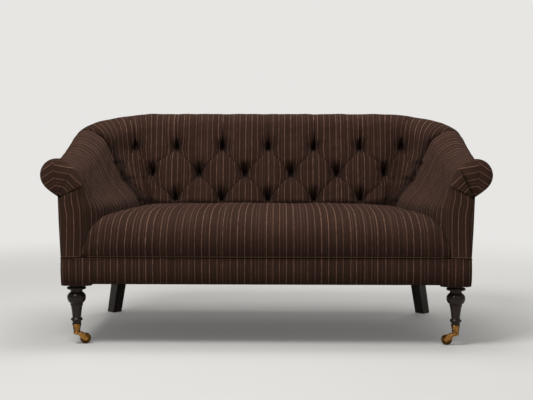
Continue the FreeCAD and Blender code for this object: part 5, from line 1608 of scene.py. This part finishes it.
def fork_mesh(name, side):
    """A fork's neck and cheeks: one outline twice, joined over the pin."""
    outer = [(-0.0100, 0.0366), (-0.0100, 0.0430), (0.0120, 0.0430)]
    outer += bezier(outer[-1], (0.0240, 0.0425), (0.0300, 0.0350), (0.0363, 0.0232), 12)
    boss = arc_points((TRAIL, WHEEL_RADIUS), 0.0070, 35, -150, 18)
    inner = bezier(boss[-1], (0.0175, 0.0160), (0.0085, 0.0260), (0.0030, 0.0366), 12)
    outline = outer + boss + inner
    bridge = [point for point in outline if point[0] < 0.0125 and point[1] > 0.0362]
    pin, forward, cross = caster_axes(side)
    vertices, faces = [], []
    for points, near, far in ((outline, CHEEK_INSIDE, CHEEK_OUTSIDE),
                              (outline, -CHEEK_OUTSIDE, -CHEEK_INSIDE),
                              (bridge, -0.0072, 0.0072)):
        base, count = len(vertices), len(points)
        for offset in (near, far):
            vertices += [tuple(pin + forward * along + cross * offset + Vector((0, 0, z)))
                         for along, z in points]
        faces.append(tuple(range(base, base + count)))
        faces.append(tuple(reversed(range(base + count, base + 2 * count))))
        for here in range(base, base + count):
            after = base + (here - base + 1) % count
            faces.append((after, here, count + here, count + after))
    mesh = bpy.data.meshes.new(name)
    mesh.from_pydata(vertices, [], faces)
    mesh.materials.append(aged_brass())
    mesh.update()
    return mesh


def make_forks():
    """The swivelling forks: a round plate, a neck that sweeps down, and two cheeks."""
    for side in SIDES:
        name = SIDE_NAMES[side]
        fork = name.capitalize() + "_fork"
        made = placed(fork, fork_mesh(fork, side))
        soften(made, "Soft edges", 0.0007, 30)
        keep(made, name + "_caster")
        disc = turned_piece(name.capitalize() + "_swivel_plate", rounded_profile(SWIVEL_PLATE),
                            caster_axes(side)[0], aged_brass(), steps=48, crisp=40)
        keep(disc, name + "_caster")
        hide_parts(name + "_caster_horn")


def finish_packed_nodes():
    """Gives the wood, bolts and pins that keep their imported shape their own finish."""
    boards = (
        "front_seat_rail", "rear_seat_rail", "left_seat_rail", "right_seat_rail",
        "left_corner_rail", "right_corner_rail", "seat_stretcher", "left_front_block",
        "right_front_block", "left_rear_block", "right_rear_block", "left_arm_post",
        "right_arm_post", "left_arm_rail", "right_arm_rail", "left_arm_stay", "right_arm_stay",
        "left_back_post", "right_back_post", "back_top_rail", "back_stay_rail",
        "back_centre_upright", "left_shoulder_rail", "right_shoulder_rail",
    )
    finishes = (
        (boards, beech()),
        (("front_leg_bolts", "rear_leg_bolts"), bright_steel()),
        (("swivel_pins", "left_wheel_axle", "right_wheel_axle"), aged_brass()),
    )
    for nodes, material in finishes:
        for node in nodes:
            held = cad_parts[node].data.materials
            held.clear()
            held.append(material)


# Stage

SURROUNDINGS = (0.80, 0.79, 0.77)
FLOOR_HALF = 9
# The lamps: name, place, size, power and the height they aim at
LAMPS = (
    ("Key", (-1.3, -1.8, 3.7), 1.4, 112, 0.45),
    ("Fill", (2.4, -2.8, 2.4), 2.4, 14, 0.45),
    ("Above", (0.3, 0.3, 3.4), 1.8, 52, 0.5),
    ("Behind", (1.4, 3.2, 1.9), 2.4, 30, 0.40),
)
# The camera that was fitted to the photo
CAMERA_PLACE = (0.0506, -3.7933, 0.6848)
CAMERA_YAW = -0.0141
CAMERA_PITCH = 0.0503
CAMERA_ROLL = 0.00135
FOCAL_PIXELS = 974.6
PHOTO_WIDTH = 533.0
SENSOR_WIDTH = 36.0


def make_floor():
    """A pale floor that passes into the pale surroundings away from the settee."""
    mesh = bpy.data.meshes.new("Floor")
    corners = [(x * FLOOR_HALF, y * FLOOR_HALF, 0) for x, y in ((-1, -1), (1, -1), (1, 1), (-1, 1))]
    mesh.from_pydata(corners, [], [(0, 1, 2, 3)])
    recipe = Recipe("Pale floor")
    places = recipe.places()
    colour = recipe.mix(recipe.noise(places, 0.6, 2.0), (0.60, 0.59, 0.57), (0.65, 0.64, 0.62))
    recipe.link(colour, recipe.shader.inputs["Base Color"])
    recipe.set(rough=0.95, specular=0.05)
    measure = recipe.node("ShaderNodeVectorMath", operation="LENGTH")
    recipe.link(places, measure.inputs[0])
    away = recipe.ramp(measure.outputs["Value"], 0.9, 4.2, 0.12, 1.0)
    seen = recipe.node("ShaderNodeLightPath").outputs["Is Camera Ray"]
    glow = recipe.node("ShaderNodeEmission")
    glow.inputs["Color"].default_value = (*SURROUNDINGS, 1.0)
    both = recipe.node("ShaderNodeMixShader")
    recipe.link(recipe.math("MULTIPLY", seen, away), both.inputs[0])
    recipe.link(recipe.shader.outputs[0], both.inputs[1])
    recipe.link(glow.outputs[0], both.inputs[2])
    recipe.link(both.outputs[0], recipe.tree.nodes["Material Output"].inputs["Surface"])
    mesh.materials.append(recipe.material)
    placed("Floor", mesh)


def make_lights():
    """Four soft lamps and a pale world that lights the settee only a little."""
    for name, place, size, power, aim in LAMPS:
        lamp = bpy.data.lights.new(name, "AREA")
        lamp.shape = "SQUARE"
        lamp.size = size
        lamp.energy = power
        made = placed(name, lamp)
        made.location = place
        toward = Vector((0, 0, aim)) - Vector(place)
        made.rotation_euler = toward.to_track_quat("-Z", "Y").to_euler()
    world = bpy.data.worlds.new("Studio")
    bpy.context.scene.world = world
    world.use_nodes = True
    tree = world.node_tree
    light = tree.nodes["Background"]
    light.inputs["Color"].default_value = (1.0, 0.98, 0.95, 1.0)
    light.inputs["Strength"].default_value = 0.23
    seen = tree.nodes.new("ShaderNodeBackground")
    seen.inputs["Color"].default_value = (*SURROUNDINGS, 1.0)
    path = tree.nodes.new("ShaderNodeLightPath")
    choose = tree.nodes.new("ShaderNodeMixShader")
    tree.links.new(path.outputs["Is Camera Ray"], choose.inputs[0])
    tree.links.new(light.outputs[0], choose.inputs[1])
    tree.links.new(seen.outputs[0], choose.inputs[2])
    tree.links.new(choose.outputs[0], tree.nodes["World Output"].inputs["Surface"])


def make_camera():
    """The camera, a little above the seat and almost straight in front."""
    camera = bpy.data.cameras.new("Camera")
    made = placed("Camera", camera)
    made.location = CAMERA_PLACE
    aim = Vector((math.sin(CAMERA_YAW) * math.cos(CAMERA_PITCH),
                  math.cos(CAMERA_YAW) * math.cos(CAMERA_PITCH), -math.sin(CAMERA_PITCH)))
    made.rotation_euler = aim.to_track_quat("-Z", "Y").to_matrix().to_euler()
    made.rotation_euler.rotate_axis("Z", CAMERA_ROLL)
    camera.sensor_width = SENSOR_WIDTH
    camera.lens = SENSOR_WIDTH * FOCAL_PIXELS / PHOTO_WIDTH
    bpy.context.scene.camera = made


# Operators


class SETTEE_OT_back(bpy.types.Operator):
    """Makes the tufted back with its buttons"""

    bl_idname = "settee.make_back"
    bl_label = "Tufted back"

    def execute(self, context):
        make_back()
        return {"FINISHED"}


class SETTEE_OT_arms(bpy.types.Operator):
    """Makes both scroll arms with their pleated fronts"""

    bl_idname = "settee.make_arms"
    bl_label = "Scroll arms"

    def execute(self, context):
        make_arm_covers()
        return {"FINISHED"}


class SETTEE_OT_seat(bpy.types.Operator):
    """Makes the sprung seat"""

    bl_idname = "settee.make_seat"
    bl_label = "Seat"

    def execute(self, context):
        make_seat_cover()
        return {"FINISHED"}


class SETTEE_OT_outside(bpy.types.Operator):
    """Makes the band round the rails and the outside cloth"""

    bl_idname = "settee.make_outside"
    bl_label = "Band and outside cloth"

    def execute(self, context):
        make_rail_band()
        make_outside_cover()
        return {"FINISHED"}


class SETTEE_OT_linings(bpy.types.Operator):
    """Makes the dust cover, the hessian and the webbing"""

    bl_idname = "settee.make_linings"
    bl_label = "Hidden cloths"

    def execute(self, context):
        make_dust_cover()
        make_spring_cover()
        make_webbing()
        return {"FINISHED"}


class SETTEE_OT_legs(bpy.types.Operator):
    """Makes the turned front legs and the square rear ones"""

    bl_idname = "settee.make_legs"
    bl_label = "Legs"

    def execute(self, context):
        make_front_legs()
        make_rear_legs()
        return {"FINISHED"}


class SETTEE_OT_casters(bpy.types.Operator):
    """Makes the brass cups, forks and wheels"""

    bl_idname = "settee.make_casters"
    bl_label = "Brass casters"

    def execute(self, context):
        make_cups()
        make_forks()
        make_wheels()
        return {"FINISHED"}


class SETTEE_OT_frame(bpy.types.Operator):
    """Finishes the wood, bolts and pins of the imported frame"""

    bl_idname = "settee.finish_frame"
    bl_label = "Frame finishes"

    def execute(self, context):
        finish_packed_nodes()
        return {"FINISHED"}


class SETTEE_OT_stage(bpy.types.Operator):
    """Makes the floor, the lights and the camera"""

    bl_idname = "settee.make_stage"
    bl_label = "Stage"

    def execute(self, context):
        bpy.context.scene.view_settings.view_transform = "Standard"
        make_floor()
        make_lights()
        make_camera()
        return {"FINISHED"}


OPERATORS = (SETTEE_OT_back, SETTEE_OT_arms, SETTEE_OT_seat, SETTEE_OT_outside,
             SETTEE_OT_linings, SETTEE_OT_legs, SETTEE_OT_casters, SETTEE_OT_frame,
             SETTEE_OT_stage)


class SETTEE_PT_panel(bpy.types.Panel):
    """Lists the settee's settings and pieces"""

    bl_idname = "SETTEE_PT_panel"
    bl_label = "Tufted settee"
    bl_space_type = "VIEW_3D"
    bl_region_type = "UI"
    bl_category = "Settee"

    def draw(self, context):
        scene = context.scene
        for group in (scene.settee_wool, scene.settee_tufts, scene.settee_finish):
            box = self.layout.box()
            for name in group.__annotations__:
                box.prop(group, name)
        for operator in OPERATORS:
            self.layout.operator(operator.bl_idname)


GROUPS = (("settee_wool", WoolSettings), ("settee_tufts", TuftSettings),
          ("settee_finish", FinishSettings))


def register():
    for _, group in GROUPS:
        bpy.utils.register_class(group)
    for operator in OPERATORS:
        bpy.utils.register_class(operator)
    bpy.utils.register_class(SETTEE_PT_panel)
    for name, group in GROUPS:
        setattr(bpy.types.Scene, name, bpy.props.PointerProperty(type=group))


def unregister():
    for name, _ in GROUPS:
        delattr(bpy.types.Scene, name)
    bpy.utils.unregister_class(SETTEE_PT_panel)
    for operator in reversed(OPERATORS):
        bpy.utils.unregister_class(operator)
    for _, group in reversed(GROUPS):
        bpy.utils.unregister_class(group)


def main():
    register()
    for operator in OPERATORS:
        group, action = operator.bl_idname.split(".")
        getattr(getattr(bpy.ops, group), action)()


if __name__ == "__main__":
    main()
